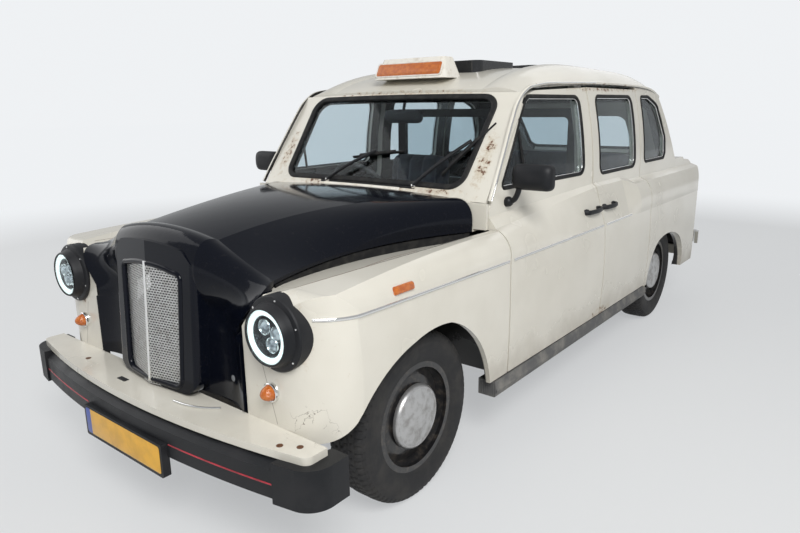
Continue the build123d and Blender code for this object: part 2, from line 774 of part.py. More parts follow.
def draw_wing_inside():
    """The wing's hollow seen from the side: one wall inside the top and the face, and open below."""
    wall = wing_wall
    with BuildSketch(Plane.YZ.offset(wing_inner_x - 20)) as side:
        with BuildLine():
            Line((wing_rear_y - wing_rear_wall, wing_open_z), (wing_rear_y - wing_rear_wall, wing_top_z - wall))
            ThreePointArc((wing_rear_y - wing_rear_wall, wing_top_z - wall), (-1650, 966 - wall),
                          (wing_turn_y, wing_turn_z - wall))
            ThreePointArc((wing_turn_y, wing_turn_z - wall), (-2040, 912), (wing_front_y + wall, wing_brow_z))
            Polyline((wing_front_y + wall, wing_brow_z), (wing_front_y + wall, wing_open_z),
                     (wing_rear_y - wing_rear_wall, wing_open_z))
        make_face()
    return side.sketch


def draw_wing_front(wall):
    """The wing seen from the front: upright side, round shoulder, and a top that falls to the bonnet's edge."""
    s = BODY_SECTIONS[0]
    low = wing_open_z - 10
    drop = wall / 2
    inner = wing_inner_x - 30
    with BuildSketch(Plane.XZ.offset(-wing_rear_y - 20)) as front:
        with BuildLine():
            Line((inner, low), (s.sill_x - wall, low))
            Line((s.sill_x - wall, low), (s.sill_x - wall, section_base_z))
            ThreePointArc((s.sill_x - wall, section_base_z), (s.belly_x - wall, s.belly_z),
                          (s.side_x - wall, s.side_z))
            ThreePointArc((s.side_x - wall, s.side_z), (s.turn_x - wall, s.turn_z - drop),
                          (s.shoulder_x - wall, s.shoulder_z - drop))
            Polyline((s.shoulder_x - wall, s.shoulder_z - drop), (catwalk_outer_x, catwalk_outer_z - wall),
                     (inner, catwalk_inner_z - wall), (inner, low))
        make_face()
    return front.sketch


def draw_wing_plan(wall):
    """The wing from above: straight side, then the round outer corner at the lamp."""
    outer = wing_outer_x - wall
    front = wing_front_y + wall
    radius = wing_corner_radius - wall
    turn = radius * (1 - cos(radians(45)))
    with BuildSketch(Plane.XY.offset(wing_open_z - 20)) as plan:
        with BuildLine():
            Line((wing_inner_x - 30, wing_rear_y + 10), (outer, wing_rear_y + 10))
            Line((outer, wing_rear_y + 10), (outer, front + radius))
            ThreePointArc((outer, front + radius), (outer - turn, front + turn), (outer - radius, front))
            Line((outer - radius, front), (wing_inner_x - 30, front))
            Line((wing_inner_x - 30, front), (wing_inner_x - 30, wing_rear_y + 10))
        make_face()
    return plan.sketch


with BuildPart() as wing_hollow:
    add(draw_wing_inside())
    extrude(amount=wing_outer_x - wing_inner_x + 20, dir=(1, 0, 0))
    add(draw_wing_front(wing_wall))
    extrude(amount=1300, dir=(0, -1, 0), mode=Mode.INTERSECT)
    add(draw_wing_plan(wing_wall))
    extrude(amount=900, dir=(0, 0, 1), mode=Mode.INTERSECT)

with BuildPart() as wing_block:
    add(draw_wing_side())
    extrude(amount=wing_outer_x - wing_inner_x, dir=(1, 0, 0))
    add(draw_wing_front(0))
    extrude(amount=1300, dir=(0, -1, 0), mode=Mode.INTERSECT)
    add(draw_wing_plan(0))
    extrude(amount=900, dir=(0, 0, 1), mode=Mode.INTERSECT)

with BuildPart() as wing_shell:
    add(wing_block.part)
    add(wing_hollow.part, mode=Mode.SUBTRACT)
    add(bonnet_form(-bonnet_gap), mode=Mode.SUBTRACT)

with BuildPart() as front_wings:
    add(wing_shell.solids().sort_by(SortBy.VOLUME)[-1])
    mirror(about=Plane.YZ)
write(front_wings.part, "front_wings")


# Grille: a perforated plate folded along its middle, set into the shell's opening
grille_thickness = 8.0
grille_fold = 40.0
with BuildPart() as grille:
    with BuildSketch(Plane.XY.offset(nose_top_z + 20)):
        with BuildLine():
            back = nose_front_y + nose_fold + bonnet_wall - grille_thickness
            edge = grille_half_width + 14
            Polyline((-edge, back), (0, back - grille_fold), (edge, back), (edge, back + grille_thickness),
                     (0, back - grille_fold + grille_thickness), (-edge, back + grille_thickness), close=True)
        make_face()
    extrude(amount=620, dir=(0, -sin(radians(nose_lean)), -cos(radians(nose_lean))))
    add(draw_grille_opening(0))
    extrude(amount=220, dir=(0, -1, 0), mode=Mode.INTERSECT)
write(grille.part, "grille")


# Valance shelf, bumper with its end caps and plate bracket, rear bumper
def draw_bow(centre_y, end_y, half, back_y):
    """Plan of a part bowed across the car: an arc in front and a straight back."""
    with BuildSketch(Plane.XY) as bow:
        with BuildLine():
            ThreePointArc((-half, end_y), (0, centre_y), (half, end_y))
            Line((half, end_y), (half, back_y))
            Line((half, back_y), (-half, back_y))
            Line((-half, back_y), (-half, end_y))
        make_face()
        fillet(bow.vertices().sort_by(Axis.Y)[:2], 30)
    return bow.sketch


with BuildPart() as front_valance:
    add(draw_bow(-2258, -2165, 862, wing_front_y).moved(Location((0, 0, valance_low_z))))
    extrude(amount=valance_thickness, dir=(0, 0, 1))
write(front_valance.part, "front_valance")

bumper_end_y = -2195.0
bumper_wrap_y = -2040.0
bumper_depth = 62.0
bumper_slope_drop = 30.0
bumper_cap_width = 150.0
bumper_cap_bottom_z = bumper_bottom_z - 12
bumper_cap_top_z = valance_low_z
plate_z = 322.0
plate_width = 536.0
plate_height = 126.0
plate_depth = 30.0
plate_hole_spacing = 440.0
plate_hole_radius = 3.0
plate_hole_depth = 12.0


def draw_bumper_plan(grow):
    """The bumper from above: bowed across the front, with round corners and ends that run back."""
    half = bumper_half_width + grow
    corner = bumper_end_y - grow
    inner = half - bumper_depth - grow
    with BuildSketch(Plane.XY) as plan:
        with BuildLine():
            ThreePointArc((70 - half, corner), (0, bumper_front_y - grow), (half - 70, corner))
            ThreePointArc((half - 70, corner), (half - 15, corner + 40), (half, corner + 90))
            Line((half, corner + 90), (half, bumper_wrap_y))
            Line((half, bumper_wrap_y), (inner, bumper_wrap_y))
            Line((inner, bumper_wrap_y), (inner - 30, bumper_end_y + bumper_depth))
            ThreePointArc((inner - 30, bumper_end_y + bumper_depth), (0, bumper_front_y + bumper_depth),
                          (30 - inner, bumper_end_y + bumper_depth))
            Line((30 - inner, bumper_end_y + bumper_depth), (-inner, bumper_wrap_y))
            Line((-inner, bumper_wrap_y), (-half, bumper_wrap_y))
            Line((-half, bumper_wrap_y), (-half, corner + 90))
            ThreePointArc((-half, corner + 90), (15 - half, corner + 40), (70 - half, corner))
        make_face()
    return plan.sketch


with BuildPart() as bumper_bar:
    add(draw_bumper_plan(0).moved(Location((0, 0, bumper_bottom_z))))
    extrude(amount=valance_low_z - bumper_bottom_z, dir=(0, 0, 1))
    front_edges = bumper_bar.faces().sort_by(Axis.Z)[-1].edges().filter_by(GeomType.CIRCLE).sort_by(Axis.Y)[:1]
    chamfer(front_edges, length=bumper_slope_drop, length2=bumper_depth - 14)

with BuildPart() as front_bumper:
    add(bumper_bar.part)
    add(draw_bumper_plan(7).moved(Location((0, 0, bumper_cap_bottom_z))))
    extrude(amount=bumper_cap_top_z - bumper_cap_bottom_z, dir=(0, 0, 1))
    with BuildSketch(Plane.XY.offset(bumper_bottom_z - 50)):
        with Locations((0, bumper_front_y)):
            Rectangle(2 * (bumper_half_width - bumper_cap_width), 600)
    extrude(amount=300, dir=(0, 0, 1), mode=Mode.SUBTRACT)
    add(bumper_bar.part)
    with BuildSketch(Plane.XZ.offset(-plate_front_y)):
        with Locations((0, plate_z)):
            RectangleRounded(plate_width, plate_height, 8)
    extrude(amount=-plate_depth)
    with BuildSketch(Plane.XZ.offset(-plate_front_y)):
        with Locations((-plate_hole_spacing / 2, plate_z), (plate_hole_spacing / 2, plate_z)):
            Circle(plate_hole_radius)
    extrude(amount=-plate_hole_depth, mode=Mode.SUBTRACT)
write(front_bumper.part, "front_bumper")

with BuildPart() as rear_bumper:
    with BuildSketch(Plane.XY.offset(405)):
        with BuildLine():
            ThreePointArc((-800, 2225), (0, 2290), (800, 2225))
            ThreePointArc((800, 2225), (846, 2190), (860, 2130))
            Line((860, 2130), (836, 2130))
            ThreePointArc((836, 2130), (826, 2176), (790, 2198))
            ThreePointArc((790, 2198), (0, 2250), (-790, 2198))
            ThreePointArc((-790, 2198), (-826, 2176), (-836, 2130))
            Line((-836, 2130), (-860, 2130))
            ThreePointArc((-860, 2130), (-846, 2190), (-800, 2225))
        make_face()
    extrude(amount=95)
    with BuildSketch(Plane.XY.offset(430)):
        with Locations((-340, tail_y + 35), (340, tail_y + 35)):
            Rectangle(50, 70)
    extrude(amount=40)
write(rear_bumper.part, "rear_bumper")


# Lamps: each headlamp's bucket runs back to the round corner of its wing
lamp_bucket_depth = 46.0
with BuildPart() as headlamp:
    with BuildSketch(Plane.YZ.offset(lamp_x)):
        with BuildLine():
            Polyline((wing_front_y + lamp_bucket_depth, lamp_z),
                     (wing_front_y + lamp_bucket_depth, lamp_z + lamp_ring_radius),
                     (wing_front_y - 8, lamp_z + lamp_ring_radius),
                     (wing_front_y - 16, lamp_z + lamp_radius + 14),
                     (wing_front_y - 44, lamp_z + lamp_radius + 5), (wing_front_y - 50, lamp_z + lamp_radius),
                     (wing_front_y - 50, lamp_z), close=True)
        make_face()
    revolve(axis=Axis((lamp_x, 0, lamp_z), (0, 1, 0)))
    add(wing_block.part, mode=Mode.SUBTRACT)
    add(bonnet_form(-bonnet_gap), mode=Mode.SUBTRACT)
    mirror(about=Plane.YZ)
write(headlamp.part, "headlamps")

with BuildPart() as indicator:
    with BuildSketch(Plane.YZ.offset(indicator_x)):
        with BuildLine():
            Polyline((wing_front_y, indicator_z), (wing_front_y, indicator_z + indicator_radius),
                     (wing_front_y - 8, indicator_z + indicator_radius), (wing_front_y - 14, indicator_z + 29),
                     (wing_front_y - 34, indicator_z + 22), (wing_front_y - 45, indicator_z + 12),
                     (wing_front_y - 48, indicator_z), close=True)
        make_face()
    revolve(axis=Axis((indicator_x, 0, indicator_z), (0, 1, 0)))
    mirror(about=Plane.YZ)
write(indicator.part, "indicators")

# Tail lamps: set on the rear quarters' curve, facing back
tail_lamp_inset = 180.0
tail_lamp_x = plan_half_width - tail_lamp_inset
tail_lamp_z = 700.0
tail_lamp_width = 90.0
tail_lamp_height = 210.0
tail_lamp_stand = 21.0
quarter_run = quarter_radius - tail_lamp_inset
tail_lamp_y = tail_y - quarter_radius + (quarter_radius ** 2 - quarter_run ** 2) ** 0.5 + tail_lamp_stand
with BuildPart() as tail_lamp:
    with BuildSketch(Plane.XZ.offset(-tail_lamp_y)):
        with Locations((tail_lamp_x, tail_lamp_z)):
            RectangleRounded(tail_lamp_width, tail_lamp_height, 20)
    extrude(amount=100)
    add(outside, mode=Mode.SUBTRACT)
    mirror(about=Plane.YZ)
write(tail_lamp.part, "tail_lamps")

with BuildPart() as roof_sign:
    with BuildSketch(Plane.XY.offset(1640)):
        with Locations((0, -470)):
            RectangleRounded(470, 190, 40)
    with BuildSketch(Plane.XY.offset(1745)):
        with Locations((0, -462)):
            RectangleRounded(400, 110, 30)
    loft()
    add(roof_panel.part, mode=Mode.SUBTRACT)
write(roof_sign.part, "roof_sign")

sunroof_half = 290.0
with BuildPart() as sunroof:
    for low_y, high_y in ((-320, 80), (300, 750)):
        with BuildSketch(Plane.XY.offset(1660)):
            with Locations((0, (low_y + high_y) / 2)):
                RectangleRounded(2 * sunroof_half, high_y - low_y, 45)
        extrude(amount=72)
    add(roof_panel.part, mode=Mode.SUBTRACT)
write(sunroof.part, "sunroofs")


# Wheels: pressed rim, dished disc and hub cap in one turned piece, with the hub's bore for the spindle
def turned(points, x, y, z):
    """A closed profile of (distance out along the axle, radius) points turned about the axle."""
    with BuildPart() as part:
        with BuildSketch(Plane.XY):
            with BuildLine():
                Polyline(*points, close=True)
            make_face()
        revolve(axis=Axis.X)
    return part.part.moved(Location((x, y, z)))


half_tyre = tyre_width / 2
half_rim = 74.0
rim_profile = (
    (-half_rim, rim_flange_radius), (-half_rim, rim_radius - 9), (-40, 186), (12, 182), (26, 150), (12, 118),
    (-6, 70), (-48, 66), (-48, spindle_radius + spindle_clearance), (44, spindle_radius + spindle_clearance),
    (44, 0), (half_tyre - 1, 0), (half_tyre - 6, 60), (half_tyre - 18, 102), (half_tyre - 34, hub_cap_radius),
    (44, hub_cap_radius + 2), (38, 158), (26, 190), (56, rim_radius - 7), (half_rim, rim_radius - 9),
    (half_rim, rim_flange_radius), (half_rim - 6, rim_flange_radius), (half_rim - 8, rim_radius),
    (-half_rim + 8, rim_radius), (-half_rim + 6, rim_flange_radius),
)
tyre_bead = half_rim - 8.0
tyre_profile = (
    (-tyre_bead, rim_radius), (-tyre_bead, rim_flange_radius), (-half_rim - 4, rim_flange_radius + 5),
    (-half_tyre, 276), (-half_tyre + 8, 318), (-half_tyre + 24, tyre_radius - 4), (-30, tyre_radius),
    (30, tyre_radius),
    (half_tyre - 24, tyre_radius - 4), (half_tyre - 8, 318), (half_tyre, 276),
    (half_rim + 4, rim_flange_radius + 5), (tyre_bead, rim_flange_radius), (tyre_bead, rim_radius),
)
WHEELS = (("front", front_axle_y), ("rear", rear_axle_y))
for name, axle_y in WHEELS:
    write_pair(turned(rim_profile, wheel_x, axle_y, tyre_radius), f"{name}_wheel")
    write_pair(turned(tyre_profile, wheel_x, axle_y, tyre_radius), f"{name}_tyre")


# Steering knuckles: kingpin and stub axle on each side
arm_low_z = 296.0
arm_high_z = 446.0
arm_depth = 24.0
with BuildPart() as knuckle:
    with BuildSketch(Plane.XY.offset(arm_low_z - arm_depth)):
        with Locations((kingpin_x, front_axle_y)):
            Circle(kingpin_radius)
    extrude(amount=arm_high_z - arm_low_z + 2 * arm_depth)
    with BuildSketch(Plane.XY.offset(arm_low_z + arm_depth / 2 + 6)):
        with Locations((kingpin_x, front_axle_y)):
            Circle(30)
    extrude(amount=arm_high_z - arm_low_z - arm_depth - 12)
    with BuildSketch(Plane.YZ.offset(kingpin_x)):
        with Locations((front_axle_y, tyre_radius)):
            Circle(30)
    extrude(amount=wheel_x - 56 - kingpin_x)
    with BuildSketch(Plane.YZ.offset(kingpin_x)):
        with Locations((front_axle_y, tyre_radius)):
            Circle(spindle_radius)
    extrude(amount=wheel_x + 38 - kingpin_x)
write_pair(knuckle.part, "knuckle")


# Front suspension: two wishbones a side from the frame rails to the kingpin's ends, and coil springs
spring_x = 325.0


def wishbone(z, inner_x):
    with BuildPart() as arm:
        with BuildSketch(Plane.XY.offset(z - arm_depth / 2)):
            with BuildLine():
                Polyline((inner_x, front_axle_y - 110), (inner_x, front_axle_y - 62),
                         (kingpin_x - 60, front_axle_y - 4),
                         (kingpin_x - 60, front_axle_y + 4), (inner_x, front_axle_y + 62),
                         (inner_x, front_axle_y + 110), (kingpin_x - 20, front_axle_y + 24),
                         (kingpin_x - 20, front_axle_y - 24), close=True)
            make_face()
            with Locations((kingpin_x, front_axle_y)):
                Circle(36)
                Circle(kingpin_radius + kingpin_clearance, mode=Mode.SUBTRACT)
        extrude(amount=arm_depth)
    return arm.part


with BuildPart() as front_suspension:
    add(wishbone(arm_low_z, rail_outer_x))
    add(wishbone(arm_high_z, spring_x))
    with BuildSketch(Plane.XY.offset(rail_bottom_z + rail_depth)):
        with Locations((spring_x, front_axle_y), (spring_x, front_axle_y - 85), (spring_x, front_axle_y + 85)):
            Circle(34)
    extrude(amount=arm_high_z + arm_depth / 2 - rail_bottom_z - rail_depth)
    mirror(about=Plane.YZ)
write(front_suspension.part, "front_suspension")


# Chassis: two box rails kicked up over the rear axle, joined by cross-members
kick_rise = 130.0
rail_rear_y = 2070.0
rail_front_y = bumper_front_y + bumper_depth + 18
with BuildPart() as chassis_frame:
    with BuildSketch(Plane.YZ.offset(rail_inner_x)):
        with BuildLine():
            low = rail_bottom_z
            high = rail_bottom_z + rail_depth
            Polyline((rail_front_y, low + 50), (rail_front_y + 90, low + 50), (rail_front_y + 150, low),
                     (900, low), (1020, low + kick_rise), (1580, low + kick_rise),
                     (1700, low + 60), (rail_rear_y, low + 60), (rail_rear_y, high + 60), (1720, high + 60),
                     (1600, high + kick_rise), (1000, high + kick_rise), (880, high),
                     (rail_front_y, high), close=True)
        make_face()
    extrude(amount=rail_outer_x - rail_inner_x)
    mirror(about=Plane.YZ)
    for cross_y in (-2150, -1700, -1340, -400, 300, 780):
        with BuildSketch(Plane.YZ.offset(-rail_inner_x - 5)):
            with Locations((cross_y, rail_bottom_z + 40)):
                Rectangle(60, 70)
        extrude(amount=2 * rail_inner_x + 10)
    for cross_y in (1720, rail_rear_y - 25):
        with BuildSketch(Plane.YZ.offset(-rail_inner_x - 5)):
            with Locations((cross_y, rail_bottom_z + 110)):
                Rectangle(50, 70)
        extrude(amount=2 * rail_inner_x + 10)
write(chassis_frame.part, "chassis_frame")

with BuildPart() as rear_axle:
    with BuildSketch(Plane.YZ.offset(-(wheel_x - 54))):
        with Locations((rear_axle_y, tyre_radius)):
            Circle(40)
    extrude(amount=2 * (wheel_x - 54))
    with BuildSketch(Plane.YZ.offset(-(wheel_x + 38))):
        with Locations((rear_axle_y, tyre_radius)):
            Circle(spindle_radius)
    extrude(amount=2 * (wheel_x + 38))
    with BuildSketch(Plane.XY.offset(tyre_radius)):
        with Locations((0, rear_axle_y - 25)):
            Circle(118)
    extrude(amount=85, both=True)
    for x in (-430, 430):
        with BuildSketch(Plane.YZ.offset(x - 28)):
            with BuildLine():
                ThreePointArc((880, 340), (rear_axle_y, 270), (1760, 380))
                Line((1760, 380), (1760, 400))
                ThreePointArc((1760, 400), (rear_axle_y, 306), (880, 366))
                Line((880, 366), (880, 340))
            make_face()
        extrude(amount=56)
    for pin_y, pin_z in ((892, 353), (1748, 390)):
        with BuildSketch(Plane.YZ.offset(rail_outer_x)):
            with Locations((pin_y, pin_z)):
                Circle(14)
        extrude(amount=98)
        with BuildSketch(Plane.YZ.offset(-rail_outer_x - 98)):
            with Locations((pin_y, pin_z)):
                Circle(14)
        extrude(amount=98)
write(rear_axle.part, "rear_axle")


# Floor pan: flat from the bulkhead to the rear seat, then stepped over the axle to the boot
scuttle_low_z = BONNET_SECTIONS[0].z + BONNET_SECTIONS[0].base
with BuildPart() as floor_pan:
    with BuildSketch(Plane.YZ.offset(-floor_half_width)):
        with BuildLine():
            Polyline((wing_rear_y, floor_z), (845, floor_z), (845, floor_z + floor_thickness),
                     (wing_rear_y, floor_z + floor_thickness), close=True)
        make_face()
    extrude(amount=2 * floor_half_width)
    with BuildSketch(Plane.YZ.offset(-570)):
        with BuildLine():
            Polyline((820, floor_z), (870, floor_z), (900, 570), (tail_y - 65, 570), (tail_y - 65, 598),
                     (875, 598), (845, floor_z + floor_thickness), (820, floor_z + floor_thickness), close=True)
        make_face()
    extrude(amount=1140)
    with BuildSketch(Plane.XY.offset(floor_z)):
        with Locations((0, wing_rear_y + 20)):
            Rectangle(2 * 620, 40)
    extrude(amount=scuttle_low_z - floor_z)
    with BuildSketch(Plane.XY.offset(floor_z + floor_thickness)):
        with Locations((driver_seat_x, -170)):
            Rectangle(440, 440)
    extrude(amount=seat_base_z - floor_z - floor_thickness - soft_clearance)
write(floor_pan.part, "floor_pan")

with BuildPart() as sills:
    with BuildSketch(Plane.XZ.offset(-(rear_axle_y - 392))):
        with BuildLine():
            Polyline((770, 262), (852, 262), (864, 290), (852, sill_top_z), (786, sill_top_z), (786, floor_z),
                     (770, floor_z), close=True)
        make_face()
    extrude(amount=1950)
    with BuildSketch(Plane.XY.offset(sill_top_z)):
        with Locations((780, wing_rear_y - 100)):
            Rectangle(200, 220)
    extrude(amount=100, mode=Mode.SUBTRACT)
    mirror(about=Plane.YZ)
write(sills.part, "sills")

with BuildPart() as centre_posts:
    with BuildSketch(Plane.XZ.offset(-(centre_seam_y - 45))):
        with BuildLine():
            Polyline((748, floor_z + floor_thickness), (784, floor_z + floor_thickness), (794, 850),
                     (736, 1060), (730, 1079), (714, 1330), (662, 1590), (662, 1601), (626, 1601), (626, 1590),
                     (676, 1330), (692, 1079), (748, 850), close=True)
        make_face()
    extrude(amount=-90)
    add(roof.part, mode=Mode.SUBTRACT)
    mirror(about=Plane.YZ)
write(centre_posts.part, "centre_posts")


# Engine, radiator, tank and exhaust
with BuildPart() as engine:
    with BuildSketch(Plane.XY.offset(430)):
        with Locations((0, -1480)):
            Rectangle(420, 760)
    extrude(amount=500)
    with BuildSketch(Plane.XY.offset(rail_bottom_z + rail_depth)):
        with Locations((0, -1700), (0, -1240)):
            Rectangle(2 * rail_outer_x - 20, 70)
    extrude(amount=36)
write(engine.part, "engine")

radiator_y = -1945.0
radiator_bottom_z = 500.0
with BuildPart() as radiator:
    with BuildSketch(Plane.XY.offset(radiator_bottom_z)):
        with Locations((0, radiator_y)):
            Rectangle(470, 60)
    extrude(amount=430)
    with BuildSketch(Plane.XY.offset(rail_bottom_z + rail_depth)):
        with Locations((0, radiator_y)):
            Rectangle(2 * rail_outer_x - 20, 40)
    extrude(amount=30)
    with BuildSketch(Plane.XY.offset(rail_bottom_z + rail_depth)):
        with Locations((-150, radiator_y), (150, radiator_y)):
            Rectangle(40, 40)
    extrude(amount=radiator_bottom_z - rail_bottom_z - rail_depth)
write(radiator.part, "radiator")

with BuildPart() as fuel_tank:
    with BuildSketch(Plane.XY.offset(300)):
        with Locations((0, (1745 + rail_rear_y - 50) / 2)):
            RectangleRounded(560, rail_rear_y - 50 - 1745, 40)
    extrude(amount=200)
write(fuel_tank.part, "fuel_tank")

exhaust_x = -430.0
exhaust_z = 322.0
with BuildPart() as exhaust:
    with BuildSketch(Plane.XZ.offset(700)):
        with Locations((exhaust_x, exhaust_z)):
            Circle(24)
    extrude(amount=-1500)
    with BuildSketch(Plane.XZ.offset(300)):
        with Locations((exhaust_x, exhaust_z)):
            Circle(62)
    extrude(amount=-560)
    with BuildSketch(Plane.YZ.offset(exhaust_x)):
        with Locations((-220, exhaust_z), (180, exhaust_z)):
            Rectangle(30, 16)
    extrude(amount=-rail_outer_x - exhaust_x)
write(exhaust.part, "exhaust")


# Cabin: dashboard, steering, seats and partition
wheel_hub = (driver_seat_x, -500.0, 1015.0)
column_tilt = 58.0
tilt = radians(column_tilt)
column_dir = (0.0, sin(tilt), cos(tilt))
column_plane = Plane(origin=wheel_hub, x_dir=(1, 0, 0), z_dir=column_dir)
scuttle_rear_y = -905.0
with BuildPart() as dashboard:
    with BuildSketch(Plane.YZ.offset(-620)):
        with BuildLine():
            Polyline((wing_rear_y + 40, 880), (-760, 850), (-700, 900), (-700, 985), (-740, 1040), (-870, 1060),
                     (scuttle_rear_y, 1060), (scuttle_rear_y, 960), (wing_rear_y + 40, 960), close=True)
        make_face()
    extrude(amount=1240)
    with BuildSketch(column_plane.offset(-300)):
        Circle(26)
    extrude(amount=275)
write(dashboard.part, "dashboard")
with BuildPart() as steering_wheel:
    with BuildSketch(Plane(origin=wheel_hub, x_dir=(1, 0, 0), z_dir=(0, cos(tilt), -sin(tilt)))):
        with Locations((200, 0)):
            Circle(13)
    revolve(axis=Axis(wheel_hub, column_dir))
    with BuildSketch(column_plane.offset(-9)):
        Circle(45)
        with PolarLocations(100, 3, start_angle=90):
            Rectangle(195, 26)
    extrude(amount=14)
write(steering_wheel.part, "steering_wheel")


def seat(x, width, front_y, base_z, cushion_depth, back_height):
    """A seat in profile, cushion and leaned back in one, standing on its box."""
    with BuildPart() as part:
        with BuildSketch(Plane.YZ.offset(x - width / 2)) as side:
            with BuildLine():
                back_y = front_y + cushion_depth
                Polyline((front_y, base_z), (front_y, base_z + 130), (back_y - 130, base_z + 110),
                         (back_y - 70, base_z + 110 + back_height), (back_y + 40, base_z + 110 + back_height),
                         (back_y, base_z + 60), (back_y, base_z), close=True)
            make_face()
            fillet(side.vertices().sort_by(Axis.Y)[2:], 28)
        extrude(amount=width)
    return part.part


with BuildPart() as driver_seat:
    add(seat(driver_seat_x, 500, -420, seat_base_z, 500, 520))
write(driver_seat.part, "driver_seat")

with BuildPart() as rear_seat:
    add(seat(0, 1120, 980, 598.3, 540, 480))
write(rear_seat.part, "rear_seat")

with BuildPart() as partition:
    with BuildSketch(Plane.XZ.offset(-partition_y)):
        with Locations((0, (floor_z + floor_thickness + partition_top_z) / 2)):
            Rectangle(1280, partition_top_z - floor_z - floor_thickness)
    extrude(amount=-partition_thickness)
    add(draw_partition_window(0).moved(Location((0, -partition_thickness, 0))))
    extrude(amount=3 * partition_thickness, dir=(0, 1, 0), mode=Mode.SUBTRACT)
write(partition.part, "partition")


# Door furniture: handles either side of the centre seam, and a mirror on each front door
def draw_handle(y, length):
    with BuildSketch(Plane.YZ.offset(826)) as handle:
        with Locations((y, 950)):
            RectangleRounded(length, 26, 8)
    return handle.sketch


with BuildPart() as front_fittings:
    add(draw_handle(-30, 200))
    extrude(amount=40, dir=(1, 0, 0))
    with BuildSketch(Plane.XZ.offset(825)):
        with Locations((865, 1195)):
            RectangleRounded(190, 112, 22)
    extrude(amount=-55)
    with BuildSketch(Plane.XZ.offset(812)):
        with BuildLine():
            Polyline((700, 1075), (760, 1060), (800, 1150), (775, 1170), close=True)
        make_face()
    extrude(amount=-30)
    add(outside, mode=Mode.SUBTRACT)
write_pair(front_fittings.part, "front_door_fittings")
with BuildPart() as rear_fittings:
    add(draw_handle(200, 180))
    extrude(amount=40, dir=(1, 0, 0))
    add(outside, mode=Mode.SUBTRACT)
write_pair(rear_fittings.part, "rear_door_handle")

# Scuttle: the panel between the bonnet and the windscreen, with the feet of the screen posts
scuttle_front_y = bonnet_rear_y + bonnet_gap
post_foot_inner_x = 567.0
post_foot_outer_x = 740.0
post_foot_height = 113.0
with BuildPart() as scuttle:
    add(draw_bonnet_section(BONNET_SECTIONS[0], 0).moved(Location((0, bonnet_gap, 0))))
    extrude(amount=scuttle_rear_y - scuttle_front_y, dir=(0, 1, 0))
    for side in (-1, 1):
        with BuildSketch(Plane.XY.offset(wing_top_z + 2)):
            with Locations((side * (post_foot_inner_x + 48), (scuttle_front_y + scuttle_rear_y) / 2)):
                Rectangle(96, scuttle_rear_y - scuttle_front_y)
            with Locations((side * (post_foot_outer_x - 60), (scuttle_front_y + wing_rear_y) / 2)):
                Rectangle(120, wing_rear_y - scuttle_front_y)
        extrude(amount=post_foot_height)
    add(draw_screen_band(-90, screen_frame_depth + 0.5, 800))
    extrude(amount=screen_length, dir=screen_plane.z_dir, mode=Mode.SUBTRACT)
write(scuttle.part, "scuttle")
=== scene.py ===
import math

import bmesh
import bpy
import numpy as np
from mathutils import Matrix, Vector
from mathutils.bvhtree import BVHTree


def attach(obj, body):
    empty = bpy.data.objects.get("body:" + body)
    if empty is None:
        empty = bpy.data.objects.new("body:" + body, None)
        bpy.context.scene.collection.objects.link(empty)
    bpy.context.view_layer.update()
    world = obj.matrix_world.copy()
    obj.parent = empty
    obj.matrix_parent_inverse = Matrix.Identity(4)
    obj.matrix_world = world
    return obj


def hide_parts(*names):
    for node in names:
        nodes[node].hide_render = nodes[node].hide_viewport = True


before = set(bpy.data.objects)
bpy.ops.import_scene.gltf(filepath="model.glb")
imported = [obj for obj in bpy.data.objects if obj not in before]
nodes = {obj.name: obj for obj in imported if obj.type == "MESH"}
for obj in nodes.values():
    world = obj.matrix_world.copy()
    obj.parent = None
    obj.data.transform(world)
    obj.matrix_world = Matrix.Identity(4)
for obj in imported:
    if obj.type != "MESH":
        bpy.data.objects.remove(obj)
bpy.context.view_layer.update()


# Body panels: pressed steel under cream gloss paint, hand-painted over many years.
# Rust has come through round the windscreen, along the roof's edge and behind the headlamps,
# and road dirt lies along the foot of the doors and wings.
def add_node(tree, kind, **settings):
    """One shader node; a setting that names an input is a value or a socket, any other is the node's own."""
    made = tree.nodes.new("ShaderNode" + kind)
    for name, value in settings.items():
        if name in made.bl_rna.properties:
            setattr(made, name, value)
            continue
        socket = made.inputs[int(name[2:])] if name.startswith("in") else made.inputs[name.replace("_", " ")]
        if isinstance(value, bpy.types.NodeSocket):
            tree.links.new(value, socket)
        else:
            socket.default_value = value
    return made


def object_place(tree, scale=(1.0, 1.0, 1.0), shift=(0.0, 0.0, 0.0)):
    """Object coordinates, scaled and shifted."""
    coordinates = add_node(tree, "TexCoord")
    mapped = add_node(tree, "Mapping", Vector=coordinates.outputs["Object"], Scale=scale, Location=shift)
    return mapped.outputs["Vector"]


def new_finish(name, colour, roughness, metallic=0.0, coat=0.0, gloss=0.5):
    """A finish with its even values on the shader's own sockets, its shader, and the place its textures use."""
    finish = bpy.data.materials.new(name)
    finish.use_nodes = True
    finish.diffuse_color = (*colour, 1.0)
    shader = finish.node_tree.nodes["Principled BSDF"]
    for socket, value in (("Base Color", (*colour, 1.0)), ("Roughness", roughness), ("Metallic", metallic),
                          ("Coat Weight", coat), ("Coat Roughness", 0.06), ("Specular IOR Level", gloss)):
        shader.inputs[socket].default_value = value
    return finish, shader, object_place(finish.node_tree)


def texture(place, kind, output, **settings):
    return add_node(place.id_data, "Tex" + kind, Vector=place, **settings).outputs[output]


def noise(place, scale, detail=4.0, roughness=0.55):
    return texture(place, "Noise", "Fac", Scale=scale, Detail=detail, Roughness=roughness)


def step(value, low, high):
    """A smooth rise from 0 at low to 1 at high."""
    made = add_node(value.id_data, "MapRange", Value=value, From_Min=low, From_Max=high,
                    interpolation_type="SMOOTHSTEP")
    return made.outputs["Result"]


